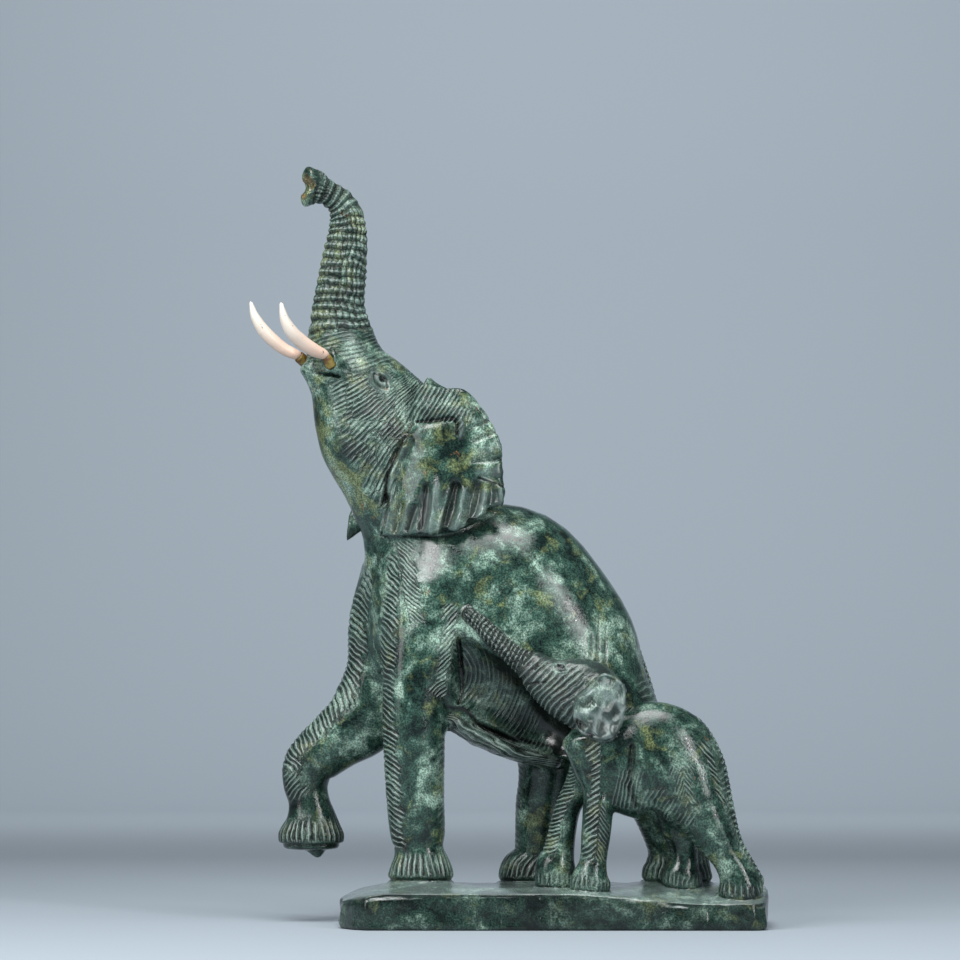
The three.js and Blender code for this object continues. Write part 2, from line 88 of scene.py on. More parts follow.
# A station is (x, y, z, half width seen from the side, half depth across).
# A limb is (across, roundness, blend, dome at each end, stations).
mother = {
    "barrel": (acrossBody, 2.15, 10, (30, 26), [
        (-112, 18, 262, 60, 44), (-90, 18, 256, 82, 53), (-46, 18, 241, 96, 60),
        (-6, 18, 214, 80, 60), (25, 18, 180, 62, 57), (47, 18, 158, 42, 50)]),
    "neck": (acrossBody, 2.1, 16, (20, 18), [
        (-84, 17, 280, 60, 46), (-103, 16, 318, 49, 40), (-118, 14, 352, 44, 36)]),
    "head": (acrossHead, 2.3, 12, (20, 14), [
        (-117, 13, 345, 43, 34), (-128, 10, 372, 49.5, 36), (-139, 6, 398, 52, 36),
        (-151, 2.5, 420, 45, 34), (-164, -3, 446, 32, 27), (-170.5, -7, 470, 25, 22)]),
    "trunk": (acrossHead, 2.2, 8, (12, 3), [
        (-167, -6, 458, 26, 22), (-170.5, -8, 484, 23.3, 20), (-170, -8, 502, 20.3, 18.5),
        (-168, -7, 518, 19.8, 17), (-165.2, -6, 540, 17.8, 15.5), (-164, -5.5, 551.5, 16.2, 14.5),
        (-164, -5.5, 560, 15, 13.5), (-165.3, -6, 569, 13.6, 12.5), (-170.8, -8.5, 579, 11.4, 11),
        (-180.5, -13, 585, 10.6, 10.5), (-189, -17, 588.3, 14.5, 11.5), (-196.5, -20, 589, 16.5, 12)]),
    "chest": (acrossBody, 2.0, 10, (12, 12), [
        (-132, 19, 312, 16, 17), (-129, 21, 270, 20, 20), (-122, 22, 228, 22, 20), (-108, 22, 196, 20, 18)]),
    "farForeleg": (acrossBody, 2.2, 12, (16, 2.5), [
        (-121, 40, 276, 34, 23), (-133, 46, 240, 31.5, 25), (-137, 47, 203, 29.5, 24),
        (-150, 47, 167, 31, 23.5), (-175, 47, 146, 25, 21.5), (-195, 47, 128, 21.5, 19),
        (-198.5, 47, 112, 18.5, 17), (-196, 47, 98, 16.5, 16.5), (-194, 47, 84, 20.5, 19),
        (-194, 47, 72, 26.5, 22.5), (-194, 47, 64, 26, 22), (-194, 47, 60, 22, 20)]),
    "nearForeleg": (acrossBody, 2.2, 14, (20, 2.5), [
        (-97, -5, 262, 34, 25), (-105, -12, 215, 29.5, 26), (-109.5, -13, 178, 25.8, 26),
        (-110, -13, 145, 24.8, 25), (-109, -12, 104, 23.4, 23.5), (-107, -12, 74, 22, 22),
        (-106, -12, 61, 19.3, 20), (-105, -12, 51, 23, 23), (-104.5, -12, 42, 26, 25.5),
        (-104.5, -12, 34, 25.5, 25)]),
    "farHindleg": (acrossBody, 2.2, 12, (20, 2.5), [
        (0, 40, 180, 38, 28), (-3, 44, 124, 24, 23), (-7, 46, 94, 22, 21.5), (-9, 46, 66, 20.5, 21),
        (-11, 46, 52, 20, 21), (-17, 46, 40, 24.5, 23.5), (-18, 46, 31, 25, 24)]),
    "nearHindleg": (acrossBody, 2.2, 14, (24, 2.5), [
        (42, 4, 178, 36, 34), (62, -4, 146, 31, 28), (86, -8, 104, 28, 25), (98, -8, 66, 23.5, 22),
        (99.5, -8, 51, 25, 24), (99, -8, 42, 28, 25), (99, -8, 31, 28, 25)]),
    "hollow": (acrossBody, 2.6, 3, (14, 20), [
        (-69, -54, 216, 13, 30), (-57, -54, 192, 29, 40), (-28, -54, 167, 28, 52),
        (-2, -52, 150, 22, 56), (12, -50, 142, 18, 50)]),
    "slit": (acrossBody, 2.0, 1, (14, 3), [
        (-74, -40, 216, 1.4, 22), (-72.6, -42, 200, 2.7, 24), (-72.5, -44, 184, 3.4, 26),
        (-79, -42, 176, 5.4, 24)]),
    "earFold": (acrossBody, 2.0, 4, (4, 4), [
        (-112, -22, 408, 5, 4), (-98, -33, 408.5, 6.5, 6), (-84, -36, 409, 6.5, 6.5),
        (-75, -37, 403, 4.5, 5), (-72, -36, 392, 3, 4)]),
    "bellyLip": (acrossBody, 2.0, 4, (6, 8), [
        (-88, 6, 172, 5, 22), (-70, 4, 156.5, 7, 26), (-50, 4, 145.5, 7, 28), (-28, 6, 136.5, 6, 28),
        (-2, 10, 130, 6, 26)]),
    "soleChip": (acrossBody, 2.0, 2, (3, 3), [(-193, 44, 61, 6, 5), (-187, 44, 56, 5.5, 5)]),
    "tail": (acrossBody, 2.0, 3, (6, 6), [
        (38, 18, 266, 4, 5), (55, 18, 246, 4, 5), (68, 18, 218, 4, 5), (77.5, 18, 191, 4, 5),
        (83, 18, 166, 4.5, 5), (93, 18, 130, 5.5, 6), (104, 18, 96, 6, 7), (112, 17, 70, 5, 6)]),
    "trunkMouth": (acrossHead, 2.0, 0.6, (6, 8), [
        (-188, -16.5, 588.5, 4, 3.5), (-197, -20.5, 589, 11, 8), (-206, -24, 589, 15, 10)]),
    "trunkNotch": (acrossHead, 2.0, 0.5, (2, 2), [
        (-207, -24.5, 589.5, 18, 16), (-199, -21.3, 589.5, 10, 16), (-194.5, -19.5, 589.5, 4, 16)]),
    "nearLip": (acrossHead, 2.0, 5, (4, 1), [(-168, -24, 438, 9, 9), (-177.6, -35, 448.4, 6.2, 6.2)]),
    "farLip": (acrossHead, 2.0, 5, (4, 1), [(-184, 3, 439, 10, 9), (-195.5, 7.5, 448, 7.8, 8)]),
    "chin": (acrossHead, 2.0, 5, (3, 3), [(-186, -9, 434, 9, 13), (-197, -10, 445, 5, 11)]),
    "mouth": (acrossHead, 2.0, 2, (4, 4), [(-187, -31, 440, 1.2, 11), (-172, -28, 435.5, 1.3, 9)]),
}
calf = {
    "calfBarrel": (acrossBody, 2.2, 8, (14, 14), [
        (36, -46, 142, 31, 21), (57, -48, 134, 43.5, 25), (84, -49, 129, 47, 27),
        (100, -50, 117, 38, 26), (110, -52, 101, 25, 22)]),
    "calfHead": (acrossBody, 2.2, 5, (10, 10), [
        (42, -50, 172, 24, 17), (26, -54, 182, 28, 19), (9, -56, 188, 25, 18),
        (-4, -56, 194, 19, 15.5), (-16, -54, 204, 13, 12)]),
    "calfTrunk": (acrossBody, 2.1, 4, (6, 5), [
        (-10, -55, 198, 15, 12), (-17, -54, 204.5, 12, 11), (-28, -51, 211.5, 9.5, 9),
        (-38, -48, 219.5, 8, 8), (-48, -45, 229, 6.8, 7.5), (-58, -42, 239, 5.8, 6.5),
        (-66, -40, 245.5, 5, 6)]),
    "calfFarForeleg": (acrossBody, 2.1, 6, (10, 2), [
        (34, -38, 142, 17, 16), (21, -35, 112, 12, 12), (12, -34, 95, 10.5, 12),
        (7.5, -34, 77, 11, 12), (4.5, -34, 60, 12.5, 12.5), (2, -34, 48, 16, 15), (2, -34, 30, 16, 15)]),
    "calfNearForeleg": (acrossBody, 2.2, 7, (12, 2), [
        (32, -54, 146, 25, 17), (35, -58, 110, 13, 13), (34.5, -60, 92, 12, 12.5),
        (33, -60, 73, 11.5, 12), (31, -60, 54, 10.5, 11), (29, -60, 43, 13.5, 13.5),
        (28.5, -60, 37, 16, 15.5), (28.5, -60, 28, 15.5, 15)]),
    "calfFarHindleg": (acrossBody, 2.2, 8, (12, 2), [
        (104, -38, 110, 26, 16), (101, -37, 82, 17, 13), (103, -36, 66, 11.5, 11),
        (103.5, -36, 53, 10.8, 11), (101.5, -36, 41, 15, 13.5), (101.5, -36, 28, 15, 13.5)]),
    "calfNearHindleg": (acrossBody, 2.2, 8, (12, 2), [
        (107, -54, 110, 29, 20), (118, -58, 88, 21, 17), (126, -60, 72, 17, 14), (136, -60, 56, 13, 12),
        (143, -60, 43, 14.5, 13), (145.5, -60, 33, 17.5, 15), (145.5, -60, 22, 17.5, 15)]),
    "calfTail": (acrossBody, 2.0, 2, (5, 5), [
        (114, -52, 161, 3.5, 4), (123, -53, 148, 4, 4.5), (131, -54, 130, 4, 4.5),
        (135.5, -55, 108, 4, 4.5), (140, -56, 84, 4, 4.5), (144, -57, 68, 4.5, 5),
        (153, -58, 50, 5, 5.5), (160, -58, 38, 5, 5.5)]),
}
limbs = {**mother, **calf}
cuts = ("hollow", "slit", "trunkMouth", "trunkNotch", "mouth")

# Ears are sheets: an outline seen from the side as (x, z), thickness, blend and, where flutes fan out,
# the point they fan from.
ears = {
    "nearEar": dict(thick=12, blend=3, outline=[
        (-105, 429), (-86, 426), (-70, 424), (-54, 407), (-41, 382), (-39.5, 356), (-38, 339),
        (-50, 328), (-76, 313), (-108, 310), (-137, 311), (-131, 337), (-132, 352), (-127, 370),
        (-117, 390), (-110, 404), (-110, 418)]),
    "farEar": dict(thick=11, blend=4, heart=(-102, 372), outline=[
        (-106, 434), (-100, 444), (-92, 439), (-80, 430), (-58, 404), (-48, 372), (-58, 340),
        (-96, 322), (-130, 320), (-150, 317), (-167, 307), (-164, 330), (-157, 352), (-138, 380),
        (-116, 408)]),
    "calfEar": dict(thick=8, blend=2, heart=(36, 173), outline=[
        (47, 198), (36, 199), (27, 188), (18, 180), (14.5, 168), (17, 156), (25, 150), (36, 147),
        (47, 149), (54, 160), (57, 176), (55, 190)]),
}
base = dict(top=31.0, edge=3.0, plan=[
    (-168, -8), (-168, -46), (-157, -68), (-146, -78), (-60, -80), (60, -79), (156, -80), (165, -74),
    (168, -40), (172, 10), (170, 62), (150, 76), (40, 79), (-80, 78), (-150, 74), (-166, 50)])
tusks = {
    "near_tusk": [
        (-176.5, -34.6, 445.5, 2.5, 2.5), (-179.7, -37.6, 450.4, 2.6, 2.6), (-181.2, -38.8, 452, 4, 4),
        (-190, -44, 455.8, 5.4, 5.4), (-198.7, -50, 461.5, 5.6, 5.6), (-206.2, -56, 468.7, 5.2, 5.2),
        (-211.4, -60, 478.2, 3.8, 3.8), (-214, -62, 489.8, 1.5, 1.5)],
    "far_tusk": [
        (-197.5, 7, 450, 3, 3), (-203.4, 2.8, 454.6, 3.1, 3.1), (-205.2, 1.8, 455.8, 4.2, 4.2),
        (-215, -1, 460.3, 4.9, 4.9), (-224.3, -5, 467.5, 5.2, 5.2), (-232, -8, 475.8, 4.9, 4.9),
        (-237.8, -10, 485.5, 3.6, 3.6), (-241, -11, 496.2, 1.4, 1.4)],
}
collars = {
    "near_tusk": [(-175.5, -34, 444, 4.7, 4.7), (-180.2, -38, 451, 3.8, 3.8)],
    "far_tusk": [(-196.5, 7.3, 449.4, 5.2, 5.2), (-203.2, 3, 454.4, 4.8, 4.8)],
}

# A band of chisel strokes: a spine in the side view, the pitch along it, the reach to its left and right,
# how far the strokes lean there (down the spine for each millimetre outwards) and their depth.
legs = ("nearForeleg", "chest", "barrel", "neck")
young = ("calfBarrel", "calfNearForeleg", "calfNearHindleg", "calfHead")
bands = [
    dict(on=legs, spine=[(-127.5, 296), (-130.5, 261), (-133, 229), (-133, 181), (-132, 145),
                         (-129, 104), (-125, 72), (-122, 60)],
         pitch=4.5, reach=(5, 10), lean=(-0.8, 0.8), depth=1.1),
    dict(on=legs, spine=[(-125, 306), (-121, 285), (-118, 261), (-113, 238)],
         pitch=4.3, reach=(0, 15), lean=(0, 1.3), depth=0.8, near=True),
    dict(on=legs, spine=[(-75, 256), (-77, 229), (-79, 204), (-86, 179)],
         pitch=4.6, reach=(15, 0), lean=(1.3, 0), depth=0.9, near=True),
    dict(on=legs, spine=[(-84, 152), (-84.5, 110), (-85, 72)],
         pitch=5.2, reach=(8, 4), lean=(0.8, 0), depth=0.4),
    dict(on=("farForeleg", "chest"), spine=[(-144, 283), (-155, 261), (-160.5, 236), (-163, 208),
                                            (-168, 188), (-185, 170), (-201, 152), (-212, 137),
                                            (-216, 123)],
         pitch=4.7, reach=(5, 17), lean=(-0.5, 0.7), depth=1.1),
    dict(on=("farForeleg",), spine=[(-215, 123), (-211, 108), (-208, 98)],
         pitch=4.2, reach=(2, 17), lean=(0, -0.7), depth=0.7),
    dict(on=young, spine=[(38.5, 146), (38.5, 116), (37.7, 92), (36, 68), (33.7, 50)],
         pitch=4.6, reach=(12, 0), lean=(0.75, 0), depth=0.9, near=True),
    dict(on=young, spine=[(37.7, 97), (36, 68), (33.7, 50)],
         pitch=3.9, reach=(0, 10), lean=(0, 1.2), depth=0.6, near=True),
    dict(on=("calfFarForeleg",), spine=[(21, 126), (12, 108), (3, 83), (-5, 56)],
         pitch=3.6, reach=(7, 7), lean=(0.6, -0.6), depth=0.8),
    dict(on=young, spine=[(45, 96), (66, 90)],
         pitch=3.3, reach=(0, 40), lean=(0, -0.10), depth=0.6, near=True),
    dict(on=young, spine=[(68, 88), (88, 84), (113, 78)],
         pitch=3.5, reach=(0, 24), lean=(0, 0.25), depth=0.6, near=True),
    dict(on=young, spine=[(104, 128), (106, 108), (110, 88)],
         pitch=5.0, reach=(11, 9), lean=(1.7, 1.9), depth=0.5, near=True),
    dict(on=young, spine=[(124, 148), (132, 122), (140, 96)],
         pitch=6.5, reach=(9, 0), lean=(-2.2, 0), depth=0.8, near=True),
    dict(on=young, spine=[(56, 183), (58, 168)],
         pitch=3.6, reach=(0, 11), lean=(0, -0.9), depth=0.8, near=True),
]
# A crease: a line in the side view, half width, depth, how much painted shade lies in it and how pale it is
# with dust and painted highlight.
# A negative depth stands proud.
front = ("head", "neck", "nearEar", "barrel", "chest", "earFold")
ear = ("nearEar",)
inside = ("hollow", "slit", "barrel", "nearForeleg", "bellyLip")
creases = [
    (front, [(-112, 400), (-122, 381), (-130, 364), (-133, 349), (-133, 338)], 2.1, 3.4, 1, 0),
    (front, [(-132, 342), (-134.5, 337)], 3.2, 3.0, 1, 0),
    (front, [(-131, 337), (-134, 322), (-137, 310)], 1.4, 1.6, 0.7, 0),
    (front, [(-118.5, 381), (-127, 362), (-129, 346), (-128, 330)], 2.2, -1.7, 0, 0.35),
    (ear, [(-112, 386), (-122, 362), (-124, 344), (-124, 330)], 2.0, 1.4, 0.25, 0),
    # Painted shadow under the ear's lower edge.
    (front, [(-135.5, 309.3), (-115, 309.6), (-89.5, 309.7), (-75.5, 312.5), (-63.5, 317.5), (-45.5, 328.5)],
     0.8, 1.6, 0.9, 0),
    (front, [(-109, 401.8), (-94, 402.7), (-81.5, 404.2), (-76, 400.5), (-76, 392)], 1.7, 3.2, 1, 0),
    (front, [(-73, 405), (-71.5, 398), (-73.5, 389)], 1.9, -2.2, 0, 0.5),
    (ear, [(-121, 335), (-125.5, 314)], 4.6, 3.2, 0.6, 0),
    (ear, [(-110, 334), (-116, 314)], 3.8, 4.2, 0.85, 0),
    (ear, [(-115.5, 336), (-121, 314)], 2.4, -0.9, 0, 0.45),
    (ear, [(-100.5, 350), (-105, 315)], 4.8, 4.6, 0.85, 0),
    (ear, [(-92, 352), (-97, 313)], 3.4, -1.3, 0, 0.5),
    (ear, [(-82, 348), (-91.5, 312)], 1.2, -1.8, 0, 0.4),
    (ear, [(-76.7, 350), (-86, 314)], 5.6, 5.0, 0.85, 0),
    (ear, [(-70, 346), (-77, 314)], 3.0, -1.2, 0, 0.5),
    (ear, [(-59.5, 350), (-61.5, 338), (-65.5, 323)], 7.4, 5.2, 0.75, 0),
    (ear, [(-54, 346), (-56, 334), (-60, 322)], 2.6, -0.8, 0, 0.5),
    (ear, [(-47.5, 350), (-46.5, 341), (-50, 331)], 4.4, 2.6, 0.3, 0),
    (ear, [(-56, 356.5), (-44, 351.5), (-41, 345), (-41.5, 335), (-49, 327)], 1.5, -2.2, 0, 0.7),
    (ear, [(-58.5, 356.5), (-48, 353.5), (-39, 349.5)], 1.5, 2.2, 0.9, 0),
    (ear, [(-63, 370), (-52, 371), (-40, 371.5)], 2.4, 1.8, 0.4, 0),
    (ear, [(-62, 386), (-54, 390), (-45, 393)], 2.6, 1.6, 0.35, 0),
    (ear, [(-64, 397), (-56, 400), (-50, 402.5)], 2.2, 1.2, 0.35, 0),
    (ear, [(-58, 378), (-42, 382)], 4.4, -0.8, 0, 0.3),
    (ear, [(-58, 362), (-41, 361)], 4.6, -0.8, 0, 0.3),
    (("calfHead", "calfTrunk"), [(-20, 191.5), (-5, 193)], 1.1, 1.4, 0.9, 0),
    (young, [(64, 142), (62.5, 122), (62, 108), (67, 94)], 3.2, 3.2, 0.8, 0),
    # Painted shade in the slit and along the top of the belly lip.
    (inside, [(-74.3, 226), (-72.7, 204), (-72, 186), (-75, 176)], 2.2, 2.0, 1, 0),
    (inside, [(-84, 173), (-69, 171), (-59, 160), (-44, 151.5), (-25.5, 147), (5, 141)], 3.2, 0.0, 1, 0),
    (("barrel",), [(32, 230), (30.5, 211)], 0.9, 0.5, 0.6, 0),
    (("barrel",), [(37.7, 243), (36, 209)], 0.9, 0.5, 0.6, 0),
    (("barrel",), [(43.3, 238), (42.5, 209)], 0.9, 0.5, 0.6, 0),
]
# A pit: its middle in the side view, its half axes, tilt and depth.
pits = [
    dict(on=("calfEar",), middle=(50.5, 163.5), half=(5, 8), tilt=-25, depth=1.8),
]
# Painted shade makes the hollow black to the right of this line.
hollowShade = [(-64, 240), (-51, 215), (-42, 196), (-20, 178), (-7, 152)]
# An eye: its middle, the way it faces, the way down its length, its half length and half height.
eyes = dict(
    near=((-136.5, -24, 432.5), (0.438, -0.899, 0.0), (0.60, 0.29, -0.74), 7.2, 3.9),
    far=((-162.5, 29, 433.5), (-0.438, 0.899, 0.0), (0.60, 0.29, -0.74), 6.0, -3.1),
    calf=((5.2, -73, 203.8), (0.0, -1.0, 0.0), (0.93, 0.0, -0.37), 4.4, 2.3),
)


def ramp(x, low, high):
    t = np.clip((x - low) / (high - low), 0, 1)
    return t * t * (3 - 2 * t)


def spline(rows, steps, closed=False):
    s = np.asarray(rows, float)
    if closed:
        ext = np.vstack([s[-1], s, s[0], s[1]])
    else:
        ext = np.vstack([2 * s[0] - s[1], s, 2 * s[-1] - s[-2]])
    out = []
    for i in range(len(ext) - 3):
        a, b, c, d = ext[i:i + 4]
        for t in np.arange(steps) / steps:
            cubic = (3 * b - a - 3 * c + d) * t ** 3
            out.append(0.5 * (2 * b + (c - a) * t + (2 * a - 5 * b + 4 * c - d) * t * t + cubic))
    if not closed:
        out.append(s[-1])
    return np.array(out)


def noise(points, size, seed):
    # Smooth value noise from -1 to 1, lumps about one size across.
    table = np.random.default_rng(seed).uniform(-1, 1, (32, 32, 32)).astype(np.float32)
    p = points / size
    low = np.floor(p).astype(np.int64)
    f = (p - low).astype(np.float32)
    f = f * f * (3 - 2 * f)
    total = np.zeros(len(points), np.float32)
    for i in (0, 1):
        for j in (0, 1):
            for k in (0, 1):
                weight = np.abs(1 - i - f[:, 0]) * np.abs(1 - j - f[:, 1]) * np.abs(1 - k - f[:, 2])
                total += weight * table[(low[:, 0] + i) & 31, (low[:, 1] + j) & 31, (low[:, 2] + k) & 31]
    return total


def frames(stations, across, steps=4):
    path = spline(stations, steps)
    side = np.asarray(across, float)
    tangent = np.gradient(path[:, :3], axis=0)
    tangent /= np.linalg.norm(tangent, axis=1, keepdims=True)
    side = side - tangent * (tangent @ side)[:, None]
    side /= np.linalg.norm(side, axis=1, keepdims=True)
    return path, tangent, side, np.cross(tangent, side)


def measure(points, limb):
    # Distance to a swept limb, the length along it, and the place across its section.
    across, power, blend, (first, last), stations = limb
    path, tangent, side, up = frames(stations, across)
    lengths = np.concatenate([[0], np.cumsum(np.linalg.norm(np.diff(path[:, :3], axis=0), axis=1))])
    best = np.full(len(points), 1e9, np.float32)
    along = np.zeros(len(points), np.float32)
    place = np.zeros((len(points), 2), np.float32)
    n = len(path) - 1
    planes = [(points - path[i, :3]) @ tangent[i] for i in range(n + 1)]
    for i in range(n):
        da, db = planes[i], -planes[i + 1]
        pick = (da >= 0) & (db >= 0)
        if i == 0:
            pick |= da < 0
        if i == n - 1:
            pick |= db < 0
        at = np.flatnonzero(pick)
        if not len(at):
            continue
        a, b = da[at], db[at]
        t = np.clip(a / np.maximum(a + b, 1e-6), 0, 1)
        s = np.zeros(len(at))
        e = np.ones(len(at))
        if i == 0:
            t, s, e = np.where(a < 0, 0, t), np.where(a < 0, -a, s), np.where(a < 0, first, e)
        if i == n - 1:
            t, s, e = np.where(b < 0, 1, t), np.where(b < 0, -b, s), np.where(b < 0, last, e)
        c = path[i] + (path[i + 1] - path[i]) * t[:, None]
        rel = points[at] - c[:, :3]
        u = (rel * (up[i] + (up[i + 1] - up[i]) * t[:, None])).sum(1)
        v = (rel * (side[i] + (side[i + 1] - side[i]) * t[:, None])).sum(1)
        w, d = c[:, 3], c[:, 4]
        qu, qv, qs = np.abs(u) / w, np.abs(v) / d, s / e
        r = (qu ** power + qv ** power) ** (1 / power) + 1e-6
        q = np.sqrt(r * r + qs * qs) + 1e-6
        gu = qu ** (power - 1) / w * r ** (1 - power)
        gv = qv ** (power - 1) / d * r ** (1 - power)
        g = np.sqrt((gu * gu + gv * gv) * (r / q) ** 2 + (qs / e / q) ** 2)
        dist = (q - 1) / np.maximum(g, 1e-4)
        better = dist < best[at]
        at = at[better]
        best[at] = dist[better]
        along[at] = (lengths[i] + (lengths[i + 1] - lengths[i]) * t)[better]
        place[at, 0] = (u / w)[better]
        place[at, 1] = (v / d)[better]
    return best, along, place, lengths[-1]


def join(a, b, k):
    h = np.clip(0.5 + 0.5 * (a - b) / k, 0, 1)
    return a * (1 - h) + b * h - k * h * (1 - h)


def carveOut(a, b, k):
    # What is left of a when b is cut away.
    return -join(-a, b, k)


def outlineDistance(x, z, outline):
    best = np.full(x.shape, 1e9)
    inside = np.zeros(x.shape, bool)
    for (ax, az), (bx, bz) in zip(outline, np.roll(outline, -1, 0)):
        ex, ez = bx - ax, bz - az
        t = np.clip(((x - ax) * ex + (z - az) * ez) / (ex * ex + ez * ez), 0, 1)
        best = np.minimum(best, (x - ax - ex * t) ** 2 + (z - az - ez * t) ** 2)
        inside ^= ((az > z) != (bz > z)) & (x < ex * (z - az) / (ez if ez else 1e-9) + ax)
    return np.where(inside, -1, 1) * np.sqrt(best)


def nearEarMiddle(x, z):
    back = np.clip((x + 128) / 48, 0, 1)
    low = np.clip((360 - z) / 50, 0, 1)
    rim = np.clip((x + 60) / 25, 0, 1)
    return -16 - 18 * back * (2 - back) - 3 * low + 3 * rim


def earMiddle(name, x, z):
    if name == "nearEar":
        return nearEarMiddle(x, z)
    if name == "farEar":
        return 52 + 0.05 * (x + 120)
    return -74 + 0.02 * (x - 35)


def mound(x, y, cx, cy, r, h):
    return h * np.exp(-((x - cx) ** 2 + (y - cy) ** 2) / (r * r))


def baseTop(x, y):
    top = base["top"] + mound(x, y, -105, -12, 34, 7) + mound(x, y, 96, 0, 40, 5)
    top = top + mound(x, y, -15, 46, 30, 2)
    top = top - 9 * np.clip((-x - 132) / 36, 0, 1) ** 1.4
    return top - (2 + 8 * np.clip((x - 20) / 90, 0, 1)) * np.clip((-y - 30) / 50, 0, 1) ** 1.3


def roundBox(a, b, r):
    outer = np.sqrt(np.maximum(a + r, 0) ** 2 + np.maximum(b + r, 0) ** 2)
    return outer + np.minimum(np.maximum(a + r, b + r), 0) - r


def seen(points):
    # Where a point lies in the side view.
    far = 1 - points[:, 1] / viewer[1]
    x = viewer[0] + (points[:, 0] - viewer[0]) / far
    return x, viewer[2] + (points[:, 2] - viewer[2]) / far


def follow(x, z, line):
    # The length along a line at the place nearest each point, and the distance to its right.
    line = np.asarray(line, float)
    best = np.full(len(x), 1e9)
    along = np.zeros(len(x))
    off = np.zeros(len(x))
    start = 0.0
    for (ax, az), (bx, bz) in zip(line[:-1], line[1:]):
        ex, ez = bx - ax, bz - az
        length = np.hypot(ex, ez)
        t = ((x - ax) * ex + (z - az) * ez) / (length * length)
        inside = np.clip(t, 0, 1)
        gap = np.hypot(x - ax - ex * inside, z - az - ez * inside)
        near = gap < best
        best[near] = gap[near]
        along[near] = start + (inside * length)[near]
        right = ((x - ax) * -ez + (z - az) * ex) / length
        off[near] = (np.sign(right) * gap)[near]
        start += length
    return along, off, start


class Block:
    # The block of stone as a grid of distances to its surface.
    def __init__(self, low, high, step):
        self.step = step
        self.axes = [np.arange(a, b + step, step, dtype=np.float32) for a, b in zip(low, high)]
        self.field = np.full([len(a) for a in self.axes], 60.0, np.float32)

    def window(self, low, high):
        spans = []
        for axis, a, b in zip(self.axes, low, high):
            start = max(0, int(np.searchsorted(axis, a)) - 1)
            spans.append(slice(start, min(len(axis), int(np.searchsorted(axis, b)) + 1)))
        return tuple(spans)

    def limb(self, limb, how):
        path = spline(limb[4], 4)
        reach = np.maximum(path[:, 3], path[:, 4])[:, None] * 1.02 + max(limb[2], 4) + self.step * 2
        w = self.window((path[:, :3] - reach).min(0), (path[:, :3] + reach).max(0))
        grid = np.meshgrid(*[a[s] for a, s in zip(self.axes, w)], indexing="ij")
        points = np.stack(grid, -1).reshape(-1, 3)
        near = np.flatnonzero(self.field[w].ravel() > -30)
        dist = np.full(len(points), 60.0, np.float32)
        dist[near] = measure(points[near], limb)[0]
        self.field[w] = how(self.field[w], dist.reshape(grid[0].shape), limb[2])

    def ear(self, name):
        made = ears[name]
        outline = spline(made["outline"], 4, closed=True)
        low, high = outline.min(0) - 10, outline.max(0) + 10
        w = self.window((low[0], -140, low[1]), (high[0], 140, high[1]))
        xs, ys, zs = [a[s] for a, s in zip(self.axes, w)]
        x, z = np.meshgrid(xs, zs, indexing="ij")
        flat = outlineDistance(x, z, outline)
        out = np.abs(ys[None, :, None] - earMiddle(name, x, z)[:, None, :]) - made["thick"] / 2
        dist = roundBox(flat[:, None, :], out, 3.0).astype(np.float32)
        self.field[w] = join(self.field[w], dist, made["blend"])

    def slab(self):
        w = self.window((-180, -90, -9), (182, 90, 60))
        xs, ys, zs = [a[s] for a, s in zip(self.axes, w)]
        x, y = np.meshgrid(xs, ys, indexing="ij")
        flat = outlineDistance(x, y, np.asarray(base["plan"], float))[:, :, None]
        high = np.maximum(zs[None, None, :] - baseTop(x, y)[:, :, None], -zs[None, None, :])
        dist = roundBox(flat, high, base["edge"]).astype(np.float32)
        self.field[w] = join(self.field[w], dist, 3)
        self.field = np.maximum(self.field, -self.axes[2][None, None, :])


def sculpt(step):
    block = Block((-234, -94, -3 * step), (184, 94, 618), step)
    order = ["barrel", "neck", "head", "trunk", "chest", "farForeleg", "nearForeleg", "farHindleg",
             "nearHindleg", "hollow", "slit", "bellyLip", "soleChip", "tail"]
    for name in order:
        block.limb(limbs[name], carveOut if name in cuts else join)
    block.ear("nearEar")
    block.limb(limbs["earFold"], join)
    block.ear("farEar")
    for name in ("trunkMouth", "trunkNotch", "nearLip", "farLip", "chin", "mouth"):
        block.limb(limbs[name], carveOut if name in cuts else join)
    for name in calf:
        block.limb(limbs[name], join)
    block.ear("calfEar")
    block.slab()
    for rows in collars.values():
        block.limb(collarLimb(rows, 0.4), carveOut)
    return block


def collarLimb(rows, grow=0.0):
    return (acrossHead, 2.0, 0.6, (2 + grow, 1.2 + grow), [(*r[:3], r[3] + grow, r[4] + grow) for r in rows])


